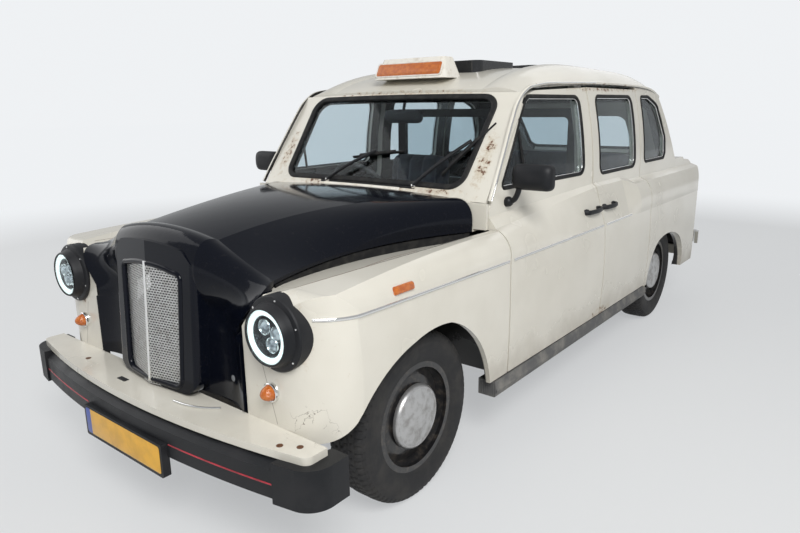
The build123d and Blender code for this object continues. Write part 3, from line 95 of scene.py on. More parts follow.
def calc(operation, first, *others):
    """One operation carried along its values: the first with the second, their result with the third, and so on."""
    for other in others or (0.0,):
        first = add_node(first.id_data, "Math", operation=operation, in0=first, in1=other).outputs[0]
    return first


def times(*values):
    return calc("MULTIPLY", *values)


def plus(*values):
    return calc("ADD", *values)


def most(*values):
    return calc("MAXIMUM", *values)


def axes(vector):
    """The x, y and z parts of a vector."""
    return add_node(vector.id_data, "SeparateXYZ", Vector=vector).outputs[:]


def blend_colour(share, first, second):
    """The first colour where share is 0 and the second where it is 1."""
    made = add_node(share.id_data, "Mix", data_type="RGBA")
    for socket, value in ((made.inputs["Factor"], share), (made.inputs[6], first), (made.inputs[7], second)):
        if isinstance(value, bpy.types.NodeSocket):
            value.id_data.links.new(value, socket)
        else:
            socket.default_value = (*value, 1.0)
    return made.outputs[2]


def feed(shader, name, value):
    value.id_data.links.new(value, shader.inputs[name])


def bump(shader, height, depth):
    made = add_node(height.id_data, "Bump", Height=height, Distance=depth, Strength=1.0)
    feed(shader, "Normal", made.outputs["Normal"])


def near(tree, centre, reach):
    """1 at a centre, falling to 0 at its reach along each axis: the length of the scaled offset, turned over."""
    scale = tuple(1.0 / r for r in reach)
    place = object_place(tree, scale, tuple(-c / r for c, r in zip(centre, reach)))
    return step(add_node(tree, "VectorMath", operation="LENGTH", in0=place).outputs["Value"], 1.0, 0.35)


CREAM, DEEP_CREAM, STAIN, ROAD_DIRT = (0.72, 0.69, 0.61), (0.66, 0.63, 0.55), (0.45, 0.32, 0.17), (0.25, 0.21, 0.16)
DARK_RUST, LIGHT_RUST = (0.05, 0.02, 0.012), (0.20, 0.07, 0.025)
# The near-black colour after GAP_DIRT is painted shade inside the cabin and underseal in the wheel arches.
GAP_DIRT, SHADE_AND_UNDERSEAL = (0.12, 0.09, 0.06), (0.030, 0.029, 0.028)
RUST_PLACES = [
    ((0.0, -0.93, 1.13), (0.85, 0.10, 0.07)),
    ((0.45, -0.94, 1.130), (0.14, 0.05, 0.045)),
    ((0.0, -0.62, 1.565), (0.80, 0.06, 0.035)),
    ((0.86, 0.10, 0.36), (0.05, 0.20, 0.05)),
    ((0.70, 0.30, 1.59), (0.08, 1.20, 0.035)),
]
RUST_PLACES += [((side * 0.64, -0.82, 1.26), (0.06, 0.24, 0.22)) for side in (1, -1)]
RUST_PLACES += [((side * 0.655, -2.07, 0.81), (0.20, 0.10, 0.20)) for side in (1, -1)]
cream, shader, plain = new_finish("cream_paint", CREAM, 0.32, coat=0.3)
tree = cream.node_tree
near_rust = most(*[near(tree, centre, reach) for centre, reach in RUST_PLACES])
patches = noise(plain, 34.0, 9.0, 0.70)
rust_share = step(plus(patches, times(near_rust, 0.17)), 0.71, 0.77)
stain_share = step(plus(patches, times(near_rust, 0.25)), 0.62, 0.82)
uneven = noise(plain, 2.3, 3.0)
x, y, z = axes(plain)
low_dirt = step(plus(z, times(noise(plain, 9.0, 6.0), 0.22)), 0.62, 0.40)
cream_colour = blend_colour(step(uneven, 0.35, 0.68), CREAM, DEEP_CREAM)
cream_colour = blend_colour(times(stain_share, 0.45), cream_colour, STAIN)
cream_colour = blend_colour(rust_share, cream_colour, blend_colour(noise(plain, 90.0, 3.0), DARK_RUST, LIGHT_RUST))
cream_colour = blend_colour(times(low_dirt, 0.45), cream_colour, ROAD_DIRT)
# The joint between wing and nose panel, and a crazed patch of filler below the left headlamp.
across = calc("ABSOLUTE", x)
seam_x = plus(times(z, -0.295), 0.781)
seam_gap = calc("ABSOLUTE", calc("SUBTRACT", across, seam_x))
seam = times(step(seam_gap, 0.0016, 0.0008), step(y, -1.99, -2.0), step(z, 0.70, 0.69), step(z, 0.492, 0.496))
wander = texture(plain, "Noise", "Color", Scale=14.0, Detail=4.0)
bent = add_node(tree, "VectorMath", operation="MULTIPLY_ADD", in0=wander, in1=(0.16, 0.16, 0.16), in2=plain)
crack_edge = texture(bent.outputs["Vector"], "Voronoi", "Distance", feature="DISTANCE_TO_EDGE", Scale=9.0)
crack = times(step(crack_edge, 0.007, 0.002), step(noise(plain, 12.0, 2.0), 0.46, 0.52),
              near(tree, (0.76, -2.02, 0.53), (0.13, 0.16, 0.11)))
cream_colour = blend_colour(times(most(seam, crack), 0.75), cream_colour, GAP_DIRT)
# Painted shade: the panels' faces towards the cabin, under the roof and behind the windscreen frame turn near black,
# and the same colour is underseal inside the wheel arches.
facing_x, facing_y, facing_z = axes(add_node(tree, "NewGeometry").outputs["Normal"])
off_wing = most(step(y, -0.96, -0.95), step(z, 0.890, 0.880))
inward = times(step(times(x, facing_x), -0.10, -0.16), off_wing, step(facing_z, 0.80, 0.70))
overhead = times(step(facing_z, -0.4, -0.6), step(z, 1.50, 1.52))
screen_back = times(step(facing_y, 0.3, 0.5), step(z, 1.10, 1.12), step(y, -0.40, -0.45))
front_arch = times(step(y, -1.97, -1.955), step(y, -0.955, -0.97))
rear_arch = times(step(y, 0.86, 0.87), step(y, 1.80, 1.79), step(z, 0.76, 0.75))
underside = times(step(across, 0.838, 0.832), step(z, 0.892, 0.885), most(front_arch, rear_arch))
# Painted shade on the cabin's inner faces and the arches' underseal, in one mask.
cabin_shade_and_underseal = most(inward, overhead, screen_back, underside)
feed(shader, "Base Color", blend_colour(cabin_shade_and_underseal, cream_colour, SHADE_AND_UNDERSEAL))
worn = plus(times(rust_share, 0.5), times(low_dirt, 0.25))
feed(shader, "Roughness", plus(worn, times(uneven, 0.45)))
orange_peel = times(noise(plain, 160.0, 2.0), 0.25)
bump(shader, plus(orange_peel, times(rust_share, -1.0)), 0.0006)


def paint(finish, *names):
    """Gives CAD nodes their finish."""
    for name in names:
        mesh = nodes[name].data
        mesh.materials.clear()
        mesh.materials.append(finish)


paint(cream, "rear_body", "boot_lid", "roof_panel", "windscreen_frame", "front_wings", "front_door_left",
      "front_door_right", "rear_door_left", "rear_door_right", "front_valance", "scuttle", "centre_posts")


# Bonnet and nose: one steel pressing sprayed gloss black, polished, with a little settled dust on top.
# On the projector lenses the soiled colour is a painted reflection, not soil.
def mottled(name, clean, soiled, share, patches, roughness, grain=None, middle=None, **even):
    """A finish that goes from a clean colour to at most a share of a soiled one, in soft patches.

    Patches are a noise's scale, detail and roughness, then the values where it starts and is full. Roughness is
    one value, or the clean one and what the patches add. The grain is a finer noise's scale and detail, then its
    depth in metres. Middle is the one colour it has where no pattern is drawn, if that isn't the clean one."""
    base, added = roughness if isinstance(roughness, tuple) else (roughness, 0.0)
    finish, shader, place = new_finish(name, middle or clean, base, **even)
    worn = noise(place, *patches[:3])
    if len(patches) > 3:
        worn = step(worn, *patches[3:])
    feed(shader, "Base Color", blend_colour(times(worn, share), clean, soiled))
    if added:
        feed(shader, "Roughness", plus(times(worn, added), base))
    if grain:
        bump(shader, noise(place, *grain[:2]), grain[2])
    return finish


gloss_black = mottled("black_paint", (0.003, 0.004, 0.008), (0.16, 0.14, 0.12), 0.06, (60.0, 8.0, 0.7, 0.55, 0.78),
                      (0.09, 0.12), (210.0, 2.0, 0.0001), gloss=0.18)
paint(gloss_black, "bonnet")


# Moulded black plastic: bumper, mirrors and handles, greyed by the sun, with a fine grain.
black_plastic = mottled("black_plastic", (0.007, 0.008, 0.010), (0.020, 0.020, 0.022), 1.0,
                        (7.0, 5.0, 0.55, 0.35, 0.75), (0.42, 0.2), (900.0, 2.0, 0.0002), (0.010, 0.011, 0.013),
                        gloss=0.28)
paint(black_plastic, "front_bumper", "front_door_fittings_left", "front_door_fittings_right",
      "rear_door_handle_left", "rear_door_handle_right")


# Bright metal: plated steel of the rear bumper, with fine scratches and a few dull spots.
chrome = mottled("chrome", (0.80, 0.80, 0.79), (0.35, 0.30, 0.24), 0.5, (80.0, 8.0, 0.7, 0.60, 0.75), (0.10, 0.35),
                 (500.0, 2.0, 0.00005), metallic=1.0)
paint(chrome, "rear_bumper")


# Window glass: clear safety glass with a faint film of dust.
clear_glass, shader, plain = new_finish("clear_glass", (0.70, 0.77, 0.80), 0.03)
shader.inputs["Transmission Weight"].default_value = 1.0
shader.inputs["IOR"].default_value = 1.2
feed(shader, "Roughness", step(noise(plain, 5.0, 6.0), 0.4, 2.6))
paint(clear_glass, "fixed_glass", "front_door_glass_left", "front_door_glass_right", "rear_door_glass_left",
      "rear_door_glass_right")


# Chassis and running gear: black chassis paint under road dust.
chassis_paint = mottled("chassis_paint", (0.02, 0.02, 0.02), (0.16, 0.12, 0.08), 0.6, (14.0, 8.0, 0.65, 0.42, 0.70),
                        0.6, (120.0, 6.0, 0.0008), (0.03, 0.03, 0.03))
paint(chassis_paint, "chassis_frame", "rear_axle", "front_suspension", "fuel_tank", "engine", "radiator", "exhaust",
      "knuckle_left", "knuckle_right", "floor_pan")


# Cabin mouldings: dark grained vinyl over foam on the dashboard and partition, and a hard wheel rim.
def relief(finish, depth, kind, **settings):
    """Fine relief on a finish, from a wave texture or from a cell texture's distances."""
    height = texture(object_place(finish.node_tree), kind, "Fac" if kind == "Wave" else "Distance", **settings)
    bump(finish.node_tree.nodes["Principled BSDF"], height, depth)


cabin_trim = mottled("cabin_trim", (0.028, 0.027, 0.026), (0.055, 0.052, 0.050), 1.0, (6.0, 4.0, 0.55, 0.3, 0.7), 0.55,
                     middle=(0.035, 0.033, 0.032))
relief(cabin_trim, 0.0004, "Voronoi", Scale=420.0)
paint(cabin_trim, "dashboard", "partition", "steering_wheel", "driver_seat", "rear_seat")


# Grille: one sheet of bright perforated steel, folded down its middle, with a half-round strip on the fold.
# Rows of small oblong holes are punched 9.5 mm apart, each row half a hole along from the last.
# The sheet is fixed behind the nose, with its edges out of sight, and leans forward with it.
def grid(points, wrap_rows=False, wrap_columns=False):
    """A quad between each four neighbours of a rows by columns grid of points, round its ends where wrapped."""
    index = np.arange(points.shape[0] * points.shape[1]).reshape(points.shape[:2])
    if wrap_rows:
        index = np.vstack([index, index[:1]])
    if wrap_columns:
        index = np.hstack([index, index[:, :1]])
    quads = np.stack([index[:-1, :-1], index[1:, :-1], index[1:, 1:], index[:-1, 1:]], axis=-1)
    return points.reshape(-1, 3), quads.reshape(-1, 4).tolist()


def capped(shape, ring):
    """The shape with its first and last rings of points closed by one face each."""
    last = len(shape[0]) - ring
    return shape[0], shape[1] + [list(range(ring))[::-1], list(range(last, last + ring))]


def joined(*shapes):
    """Several shapes as one: each one's face numbers move up by the points before it."""
    faces = []
    start = 0
    for shape in shapes:
        faces += [[start + corner for corner in face] for face in shape[1]]
        start += len(shape[0])
    return np.concatenate([shape[0] for shape in shapes]), faces


def mirrored(shape):
    """The same shape on the car's other side: x changes its sign and each face runs the other way round."""
    return shape[0] * (-1, 1, 1), [face[::-1] for face in shape[1]]


def both(shape):
    return joined(shape, mirrored(shape))


SIDES = ((1, "left"), (-1, "right"))


def unit(vectors):
    """Vectors brought to length 1."""
    return vectors / np.linalg.norm(vectors, axis=-1, keepdims=True)


def swept(path, profile, facing, closed=False):
    """A closed profile of (sideways, outwards) offsets carried along a path.

    Outwards is the facing direction less its part along the path, and sideways is square to both."""
    path = np.asarray(path, float)
    ahead = unit(np.roll(path, -1, 0) - np.roll(path, 1, 0) if closed else np.gradient(path, axis=0))
    facing = np.broadcast_to(np.asarray(facing, float), path.shape)
    outwards = unit(facing - (facing * ahead).sum(1, keepdims=True) * ahead)
    sideways = np.cross(ahead, outwards)
    profile = np.asarray(profile, float)
    points = path[:, None] + profile[None, :, :1] * sideways[:, None] + profile[None, :, 1:] * outwards[:, None]
    shape = grid(points, wrap_rows=closed, wrap_columns=True)
    return shape if closed else capped(shape, len(profile))


def bead(width, height, foot=0.0, aside=0.0, out=0.0):
    """The profile of a strip: half an ellipse over a flat foot, moved aside and out from the path."""
    turn = np.linspace(0, math.pi, 9)
    crown = np.stack([width / 2 * np.cos(turn), height * np.sin(turn)], axis=-1)
    return np.vstack([crown, ((-width / 2, -foot), (width / 2, -foot))]) + (aside, out)


def rod(radius, sides=12):
    turn = np.linspace(0, 2 * math.pi, sides, endpoint=False)
    return radius * np.stack([np.cos(turn), np.sin(turn)], axis=-1)


def lengths(line):
    """How far along a line each of its points lies."""
    return np.concatenate([[0], np.cumsum(np.linalg.norm(np.diff(line, axis=0), axis=1))])


def smooth_path(points, count):
    """A smooth line through points: cubic runs whose slopes at each point are the mean of its neighbours'."""
    points = np.asarray(points, float)
    along = lengths(points)
    slopes = np.gradient(points, along, axis=0)
    place = np.linspace(0, along[-1], count)
    run = np.clip(np.searchsorted(along, place, side="right") - 1, 0, len(along) - 2)
    length = (along[run + 1] - along[run])[:, None]
    t = (place - along[run])[:, None] / length
    return ((2 * t**3 - 3 * t**2 + 1) * points[run] + (t**3 - 2 * t**2 + t) * length * slopes[run]
            + (3 * t**2 - 2 * t**3) * points[run + 1] + (t**3 - t**2) * length * slopes[run + 1])


def as_piece(name, body, finish, shape, smooth=40.0):
    """A piece from a shape, riding on its body: doubles merged, faces turned outwards, smooth below an angle."""
    mesh = bpy.data.meshes.new(name)
    mesh.from_pydata(shape[0].tolist(), [], shape[1])
    work = bmesh.new()
    work.from_mesh(mesh)
    bmesh.ops.remove_doubles(work, verts=work.verts, dist=0.00002)
    bmesh.ops.recalc_face_normals(work, faces=work.faces)
    work.to_mesh(mesh)
    work.free()
    mesh.polygons.foreach_set("use_smooth", [True] * len(mesh.polygons))
    mesh.set_sharp_from_angle(angle=math.radians(smooth))
    mesh.materials.append(finish)
    made = bpy.data.objects.new(name, mesh)
    bpy.context.scene.collection.objects.link(made)
    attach(made, body)
    return made


def grille_face(across, height):
    """The grille's front: straight from each edge to the ridge, and further forward towards its foot."""
    return -2.122 + 0.040 * np.abs(across) / 0.205 - (1.060 - height) * 0.0594


bright_mesh = mottled("bright_mesh", (0.60, 0.60, 0.59), (0.30, 0.28, 0.25), 0.5, (35.0, 7.0, 0.65, 0.42, 0.72),
                      (0.28, 0.2), (700.0, 2.0, 0.0001), (0.58, 0.58, 0.57), metallic=0.85)

hole_step, row_step, first_row_z = 0.014, 0.0095, 0.502
cell = np.array(((-7, -4.75), (0, -4.75), (7, -4.75), (7, 0), (7, 4.75), (0, 4.75), (-7, 4.75), (-7, 0))) / 1000
hole = np.array(((-4.5, -2.1), (0, -2.7), (4.5, -2.1), (5.4, 0), (4.5, 2.1), (0, 2.7), (-4.5, 2.1), (-5.4, 0))) / 1000
column, row = (axis.ravel() for axis in np.meshgrid(np.arange(-14, 14), np.arange(49)))
centres = np.stack([(column + 0.5 * (row % 2)) * hole_step, first_row_z + row * row_step], axis=-1)
flat = centres[:, None, None] + np.stack([cell, hole])[None]
sheet_points = np.stack([flat[..., 0], grille_face(flat[..., 0], flat[..., 1]), flat[..., 1]], axis=-1)
corner = np.arange(8)
ring_quads = np.stack([corner, np.roll(corner, -1), np.roll(corner, -1) + 8, corner + 8], axis=-1)
sheet_quads = (np.arange(len(centres))[:, None, None] * 16 + ring_quads[None]).reshape(-1, 4)
grille_sheet = as_piece("grille_sheet", "bonnet", bright_mesh, (sheet_points.reshape(-1, 3), sheet_quads.tolist()))
thickness = grille_sheet.modifiers.new("sheet", "SOLIDIFY")
thickness.thickness = 0.0015
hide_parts("grille")
ridge_z = np.linspace(0.506, 0.966, 12)
ridge = np.stack([ridge_z * 0, grille_face(0, ridge_z) + 0.001, ridge_z], axis=-1)
as_piece("grille_ridge", "bonnet", chrome, swept(ridge, bead(0.012, 0.005, 0.003), (0, -1, 0)))


# Nose: the rolled lip of the grille opening, pressed in one with the bonnet and sprayed the same black.
# A short bent strip of bright trim is left below it, and a round grey plug fills a hole low on its side.
def rounded_loop(corners, radii, spacing=0.008):
    """A closed outline with round corners, as evenly spaced points.

    Each arc starts and ends at its radius over the tangent of half the corner's angle."""
    corners = np.asarray(corners, float)
    runs = []
    for here, before, after, radius in zip(corners, np.roll(corners, 1, 0), np.roll(corners, -1, 0), radii):
        back, on = unit(before - here), unit(after - here)
        half = math.acos(np.clip(back @ on, -1, 1)) / 2
        middle = here + unit(back + on) * radius / math.sin(half)
        start, end = here + back * radius / math.tan(half) - middle, here + on * radius / math.tan(half) - middle
        sweep = math.pi - 2 * half
        share = np.linspace(0, 1, 9)[:, None]
        runs.append(middle + (np.sin((1 - share) * sweep) * start + np.sin(share * sweep) * end) / math.sin(sweep))
    line = np.concatenate(runs + [runs[0][:1]])
    along = lengths(line)
    place = np.linspace(0, along[-1], int(along[-1] / spacing), endpoint=False)
    return np.stack([np.interp(place, along, line[:, 0]), np.interp(place, along, line[:, 1])], axis=-1)


def nose_face(across, height):
    """The nose's front: a shallow V in plan that leans forward towards its foot."""
    return -2.116 + 0.024 * np.abs(across) / 0.262 - (1.060 - height) * 0.0594


crown_x = np.linspace(0.150, -0.150, 9)
opening = [(-0.179, 0.512), (0.179, 0.512), (0.190, 0.934)]
opening += [(x, 0.956 - 0.028 * (x / 0.191) ** 2) for x in crown_x] + [(-0.190, 0.934)]
lip_line = rounded_loop(opening, [0.040, 0.040, 0.024] + [0.02] * len(crown_x) + [0.024])
lip_path = np.stack([lip_line[:, 0], nose_face(lip_line[:, 0], lip_line[:, 1]) + 0.004, lip_line[:, 1]], axis=-1)
as_piece("grille_lip", "bonnet", gloss_black, swept(lip_path, rod(0.011, 16), (0, -1, 0), closed=True))
shelf_top = 0.488
trim_z = shelf_top + 0.0045
trim_line = ((0.200, -2.184, trim_z), (0.270, -2.176, trim_z), (0.335, -2.153, trim_z), (0.385, -2.118, trim_z))
as_piece("nose_trim", "cab", chrome, swept(smooth_path(trim_line, 24), rod(0.0045), (0, 0, 1)))


# Headlamps: round units with a ring of light, in black plastic bezels screwed to the wings.
# Behind each clear lens are two small projector lenses in plated cups, on a dark moulded mask.
def turned(profile, centre, axis, sides=48):
    """A profile of (distance along the axis, radius) turned about the axis through the centre."""
    axis = np.asarray(axis, float)
    first = unit(np.cross(axis, (0.0, 0.0, 1.0))) if abs(axis[2]) < 0.9 else np.array((1.0, 0.0, 0.0))
    second = np.cross(axis, first)
    turn = np.linspace(0, 2 * math.pi, sides, endpoint=False)[:, None]
    profile = np.asarray(profile, float)
    around = np.cos(turn) * first + np.sin(turn) * second
    points = np.asarray(centre) + profile[:, :1, None] * axis + profile[:, 1:, None] * around[None]
    return grid(points, wrap_columns=True)


LAMP = (0.655, 0.0, 0.813)
FORWARD = (0, -1, 0)
bezel = ((2.034, 0.0), (2.034, 0.125), (2.088, 0.125), (2.0925, 0.121), (2.096, 0.106), (2.112, 0.100),
         (2.124, 0.0965), (2.129, 0.0935), (2.1305, 0.0905), (2.128, 0.0885), (2.118, 0.0875), (2.070, 0.0860),
         (2.066, 0.0))
lamp_bezels = as_piece("headlamp_bezels", "cab", black_plastic, both(turned(bezel, LAMP, FORWARD, 64)), 30.0)
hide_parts("headlamps")

halo_light, shader, plain = new_finish("halo_ring", (0.92, 0.95, 0.94), 0.35)
shader.inputs["Emission Color"].default_value = (0.93, 1.0, 0.94, 1.0)
feed(shader, "Emission Strength", plus(times(noise(plain, 60.0, 2.0), 0.5), 0.85))
halo = ((2.106, 0.0865), (2.119, 0.0865), (2.1225, 0.083), (2.1235, 0.077), (2.1225, 0.0705), (2.117, 0.068),
        (2.106, 0.068), (2.106, 0.0865))
as_piece("headlamp_halos", "cab", halo_light, both(turned(halo, LAMP, FORWARD, 64)))

lamp_mask = mottled("lamp_mask", (0.02, 0.02, 0.022), (0.07, 0.07, 0.075), 1.0, (140.0, 3.0, 0.55), 0.25,
                    middle=(0.03, 0.032, 0.035))
relief(lamp_mask, 0.002, "Voronoi", Scale=190.0)
mask = ((2.080, 0.0), (2.080, 0.070), (2.112, 0.070), (2.112, 0.064), (2.098, 0.058), (2.094, 0.030), (2.092, 0.0))
as_piece("headlamp_masks", "cab", lamp_mask, both(turned(mask, LAMP, FORWARD)))
# The projector lenses' colour goes in patches from dark grey to near white: painted reflections on their glass, not
# soil.
lamp_eye_painted_reflection = mottled("projector_lens", (0.22, 0.23, 0.25), (0.80, 0.81, 0.82), 1.0, (45.0, 2.0, 0.55, 0.35, 0.65), 0.08,
                   middle=(0.62, 0.66, 0.70), coat=1.0)
cup = ((2.094, 0.0), (2.094, 0.027), (2.108, 0.027), (2.1105, 0.0255), (2.109, 0.024), (2.101, 0.021), (2.099, 0.0))
eye = ((2.098, 0.0), (2.098, 0.0185), (2.106, 0.018), (2.112, 0.0145), (2.1155, 0.008), (2.1165, 0.0))
spots = [(LAMP[0] + aside, 0.0, LAMP[2] + up) for aside, up in ((-0.018, 0.026), (0.014, -0.027), (0.036, 0.012))]
as_piece("headlamp_cups", "cab", chrome, both(joined(*[turned(cup, spot, FORWARD, 32) for spot in spots])), 30.0)
as_piece("headlamp_eyes", "cab", lamp_eye_painted_reflection, both(joined(*[turned(eye, spot, FORWARD, 32) for spot in spots])))
screw = ((2.0905, 0.0), (2.0905, 0.0042), (2.0935, 0.0038), (2.0945, 0.0022), (2.0948, 0.0))
screw_circle = 0.1135
screws = []
for degrees in range(20, 380, 60):
    turn = math.radians(degrees)
    place = (LAMP[0] + screw_circle * math.cos(turn), -0.0025, LAMP[2] + screw_circle * math.sin(turn))
    screws.append(turned(screw, place, FORWARD, 12))
as_piece("headlamp_screws", "cab", chrome, both(joined(*screws)))
lens = ((2.1245, 0.0), (2.1245, 0.0880), (2.1275, 0.0878), (2.1300, 0.084), (2.1320, 0.070), (2.1335, 0.040),
        (2.1340, 0.0))
as_piece("headlamp_lenses", "cab", clear_glass, both(turned(lens, LAMP, FORWARD)))


# Turn lamps: small amber cones in plated rings below the headlamps, and an amber repeater on each wing.
amber, shader, plain = new_finish("amber_lens", (0.60, 0.17, 0.015), 0.2, coat=0.4)
ribs = texture(plain, "Wave", "Fac", Scale=110.0, bands_direction="Z")
depth = step(noise(plain, 50.0, 3.0), 0.3, 0.7)
feed(shader, "Base Color", blend_colour(times(ribs, depth), (0.46, 0.10, 0.01), (0.72, 0.22, 0.025)))
bump(shader, ribs, 0.0006)
TURN_LAMP = (0.619, 0.0, 0.606)
ring = ((2.0795, 0.0), (2.0795, 0.0345), (2.086, 0.0345), (2.092, 0.0325), (2.094, 0.030), (2.093, 0.0275),
        (2.088, 0.027), (2.088, 0.0))
cone = ((2.087, 0.0), (2.087, 0.0268), (2.096, 0.0262), (2.106, 0.0235), (2.116, 0.0180), (2.1235, 0.0110),
        (2.1268, 0.0050), (2.1275, 0.0))
turn_rings = as_piece("turn_lamp_rings", "cab", chrome, both(turned(ring, TURN_LAMP, FORWARD, 40)), 30.0)
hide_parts("indicators")
as_piece("turn_lamp_cones", "cab", amber, both(turned(cone, TURN_LAMP, FORWARD, 40)))


def rounded_box(width, height, radius, count=6):
    """A rectangle's outline with round corners: four quarter circles, moved out to the corners."""
    turn = (np.arange(4)[:, None] * math.pi / 2 + np.linspace(0, math.pi / 2, count)).ravel()
    out = np.repeat(np.array(((1, 1), (-1, 1), (-1, -1), (1, -1))), count, axis=0)
    return out * (width / 2 - radius, height / 2 - radius) + radius * np.stack([np.cos(turn), np.sin(turn)], axis=-1)


def plaque(steps, origin, across, up):
    """Stacked round-cornered outlines, each (width, height, corner radius, lift), lifted square to across and up."""
    across, up = np.asarray(across, float), np.asarray(up, float)
    flat = np.stack([rounded_box(*entry[:3]) for entry in steps])
    lift = np.array([entry[3] for entry in steps])[:, None, None] * np.cross(across, up)
    shape = grid(np.asarray(origin, float) + flat[..., :1] * across + flat[..., 1:] * up + lift, wrap_columns=True)
    return capped(shape, flat.shape[1])


def on_panel(name, places, direction):
    """Where straight lines that end at the places first meet a CAD node, and the way it faces there."""
    tree = BVHTree.FromPolygons([v.co for v in nodes[name].data.vertices],
                                [tuple(p.vertices) for p in nodes[name].data.polygons])
    direction = Vector(direction)
    hits = [tree.ray_cast(Vector(place) - 0.6 * direction, direction) for place in places]
    hits = [hit for hit in hits if hit[0] is not None]
    return np.array([tuple(hit[0]) for hit in hits]), np.array([tuple(hit[1]) for hit in hits])


seats, outs = on_panel("front_wings", [(0.86, -1.685, 0.903)], (-1, 0, 0))
lean = np.array((0.0, 0.0, 1.0)) - outs[0] * outs[0][2]
repeater = ((0.108, 0.030, 0.008, -0.004), (0.108, 0.030, 0.008, 0.003), (0.104, 0.026, 0.008, 0.008),
            (0.090, 0.014, 0.006, 0.0105))
as_piece("side_repeaters", "cab", amber, both(plaque(repeater, seats[0], (0, 1, 0), unit(lean))))


# Bright side strips: half-round plated mouldings clipped along the wings and doors, with a gap at each seam.
def side_strip(name, body, panel, places, profile, finish):
    """A strip on both sides of the car, along a smooth line laid on a panel from outside."""
    for side, mark in SIDES:
        line = smooth_path([(side * 0.9, y, z) for y, z in places], 60)
        path, facing = on_panel(panel.format(mark), line, (-side, 0, 0))
        as_piece(f"{name}_{mark}", body.format(mark), finish, swept(path[::side], profile, facing[::side]))


strip = bead(0.013, 0.005, 0.001)
for name, body, panel, places in (
    ("wing_strip", "cab", "front_wings", ((-2.040, 0.870), (-1.985, 0.868), (-1.50, 0.860), (-0.962, 0.854))),
    ("front_door_strip", "front_door_{}", "front_door_{}", ((-0.922, 0.854), (-0.4, 0.855), (0.070, 0.856))),
    ("rear_door_strip", "rear_door_{}", "rear_door_{}", ((0.112, 0.856), (0.30, 0.857), (0.510, 0.858))),
):
    side_strip(name, body, panel, places, strip, chrome)


# Side windows: black rubber pressed round each opening, with a thin plated channel inside it.
# A slim black bar divides the front door's glass.
rubber = mottled("black_rubber", (0.008, 0.008, 0.009), (0.026, 0.025, 0.023), 1.0, (30.0, 6.0, 0.55, 0.4, 0.75), 0.6,
                 (600.0, 3.0, 0.0002), (0.012, 0.012, 0.012), gloss=0.25)
WINDOWS = (
    ("front_window", "front_door_{}", "front_door_{}",
     ((-0.838, 1.145), (-0.022, 1.145), (-0.022, 1.537), (-0.570, 1.537), (-0.655, 1.430)),
     (0.014, 0.045, 0.045, 0.045, 0.045)),
    ("rear_window", "rear_door_{}", "rear_door_{}",
     ((0.191, 1.125), (0.753, 1.125), (0.753, 1.541), (0.191, 1.541)), (0.048,) * 4),
    ("quarter_window", "cab", "rear_body",
     ((0.928, 1.138), (1.350, 1.138), (1.350, 1.270), (1.310, 1.390), (1.222, 1.495), (1.080, 1.542), (0.928, 1.542)),
     (0.036, 0.036, 0.05, 0.09, 0.09, 0.05, 0.030)),
)
for name, body, panel, corners, radii in WINDOWS:
    outline = rounded_loop(corners, radii, 0.012)
    ahead = np.roll(outline, -1, 0) - np.roll(outline, 1, 0)
    away = unit(np.stack([ahead[:, 1], -ahead[:, 0]], axis=-1))
    rim = outline + 0.005 * away
    for side, mark in SIDES:
        path, facing = on_panel(panel.format(mark), [(side * 0.8, y, z) for y, z in rim], (-side, 0, 0))
        path, facing = path * (side, 1, 1), facing * (side, 1, 1)
        seal = swept(path, bead(0.016, 0.0045, 0.012, aside=-0.002), facing, closed=True)
        channel = swept(path, bead(0.005, 0.002, 0.004, aside=-0.0135, out=-0.006), facing, closed=True)
        for mark_name, finish, shape in (("seal", rubber, seal), ("channel", chrome, channel)):
            as_piece(f"{name}_{mark_name}_{mark}", body.format(mark), finish, shape if side > 0 else mirrored(shape))
side_strip("window_bar", "front_door_{}", "front_door_glass_{}", ((-0.664, 1.470), (-0.640, 1.330), (-0.606, 1.152)),
           bead(0.016, 0.008, 0.001), rubber)


# Windscreen and rear window seals: one black rubber moulding round each glass.
SLOPE = math.radians(36)


def screen_place(across, along, lift):
    """A point on the windscreen: across the car, up its slope, and out from its bowed face."""
    across, along = np.asarray(across, float), np.asarray(along, float)
    out = lift - across**2 / 32.0
    return np.stack([across, -0.955 + along * math.sin(SLOPE) - out * math.cos(SLOPE),
                     1.100 + along * math.cos(SLOPE) + out * math.sin(SLOPE)], axis=-1)


screen_loop = rounded_loop(((-0.569, 0.059), (0.569, 0.059), (0.591, 0.551), (-0.591, 0.551)), (0.072,) * 4, 0.012)
screen_out = (0, -math.cos(SLOPE), math.sin(SLOPE))
screen_path = screen_place(screen_loop[:, 0], screen_loop[:, 1], 0.0)
as_piece("windscreen_seal", "cab", rubber, swept(screen_path, bead(0.030, 0.007, 0.012), screen_out, closed=True))
rear_foot, rear_head, rear_half = np.array((1.800, 1.112)), np.array((1.440, 1.488)), 0.442
rear_length = np.linalg.norm(rear_head - rear_foot)
rear_rise = (rear_head - rear_foot) / rear_length
low, high = 0.155 * rear_length, 0.905 * rear_length
rear_corners = ((-rear_half, low), (rear_half, low), (rear_half, high), (-rear_half, high))
rear_loop = rounded_loop(rear_corners, (0.060,) * 4, 0.012)
rear_path = np.column_stack([rear_loop[:, 0], rear_foot + rear_loop[:, 1:] * rear_rise])
rear_out = (0, rear_rise[1], -rear_rise[0])
as_piece("rear_window_seal", "cab", rubber, swept(rear_path, bead(0.026, 0.006, 0.012), rear_out, closed=True))


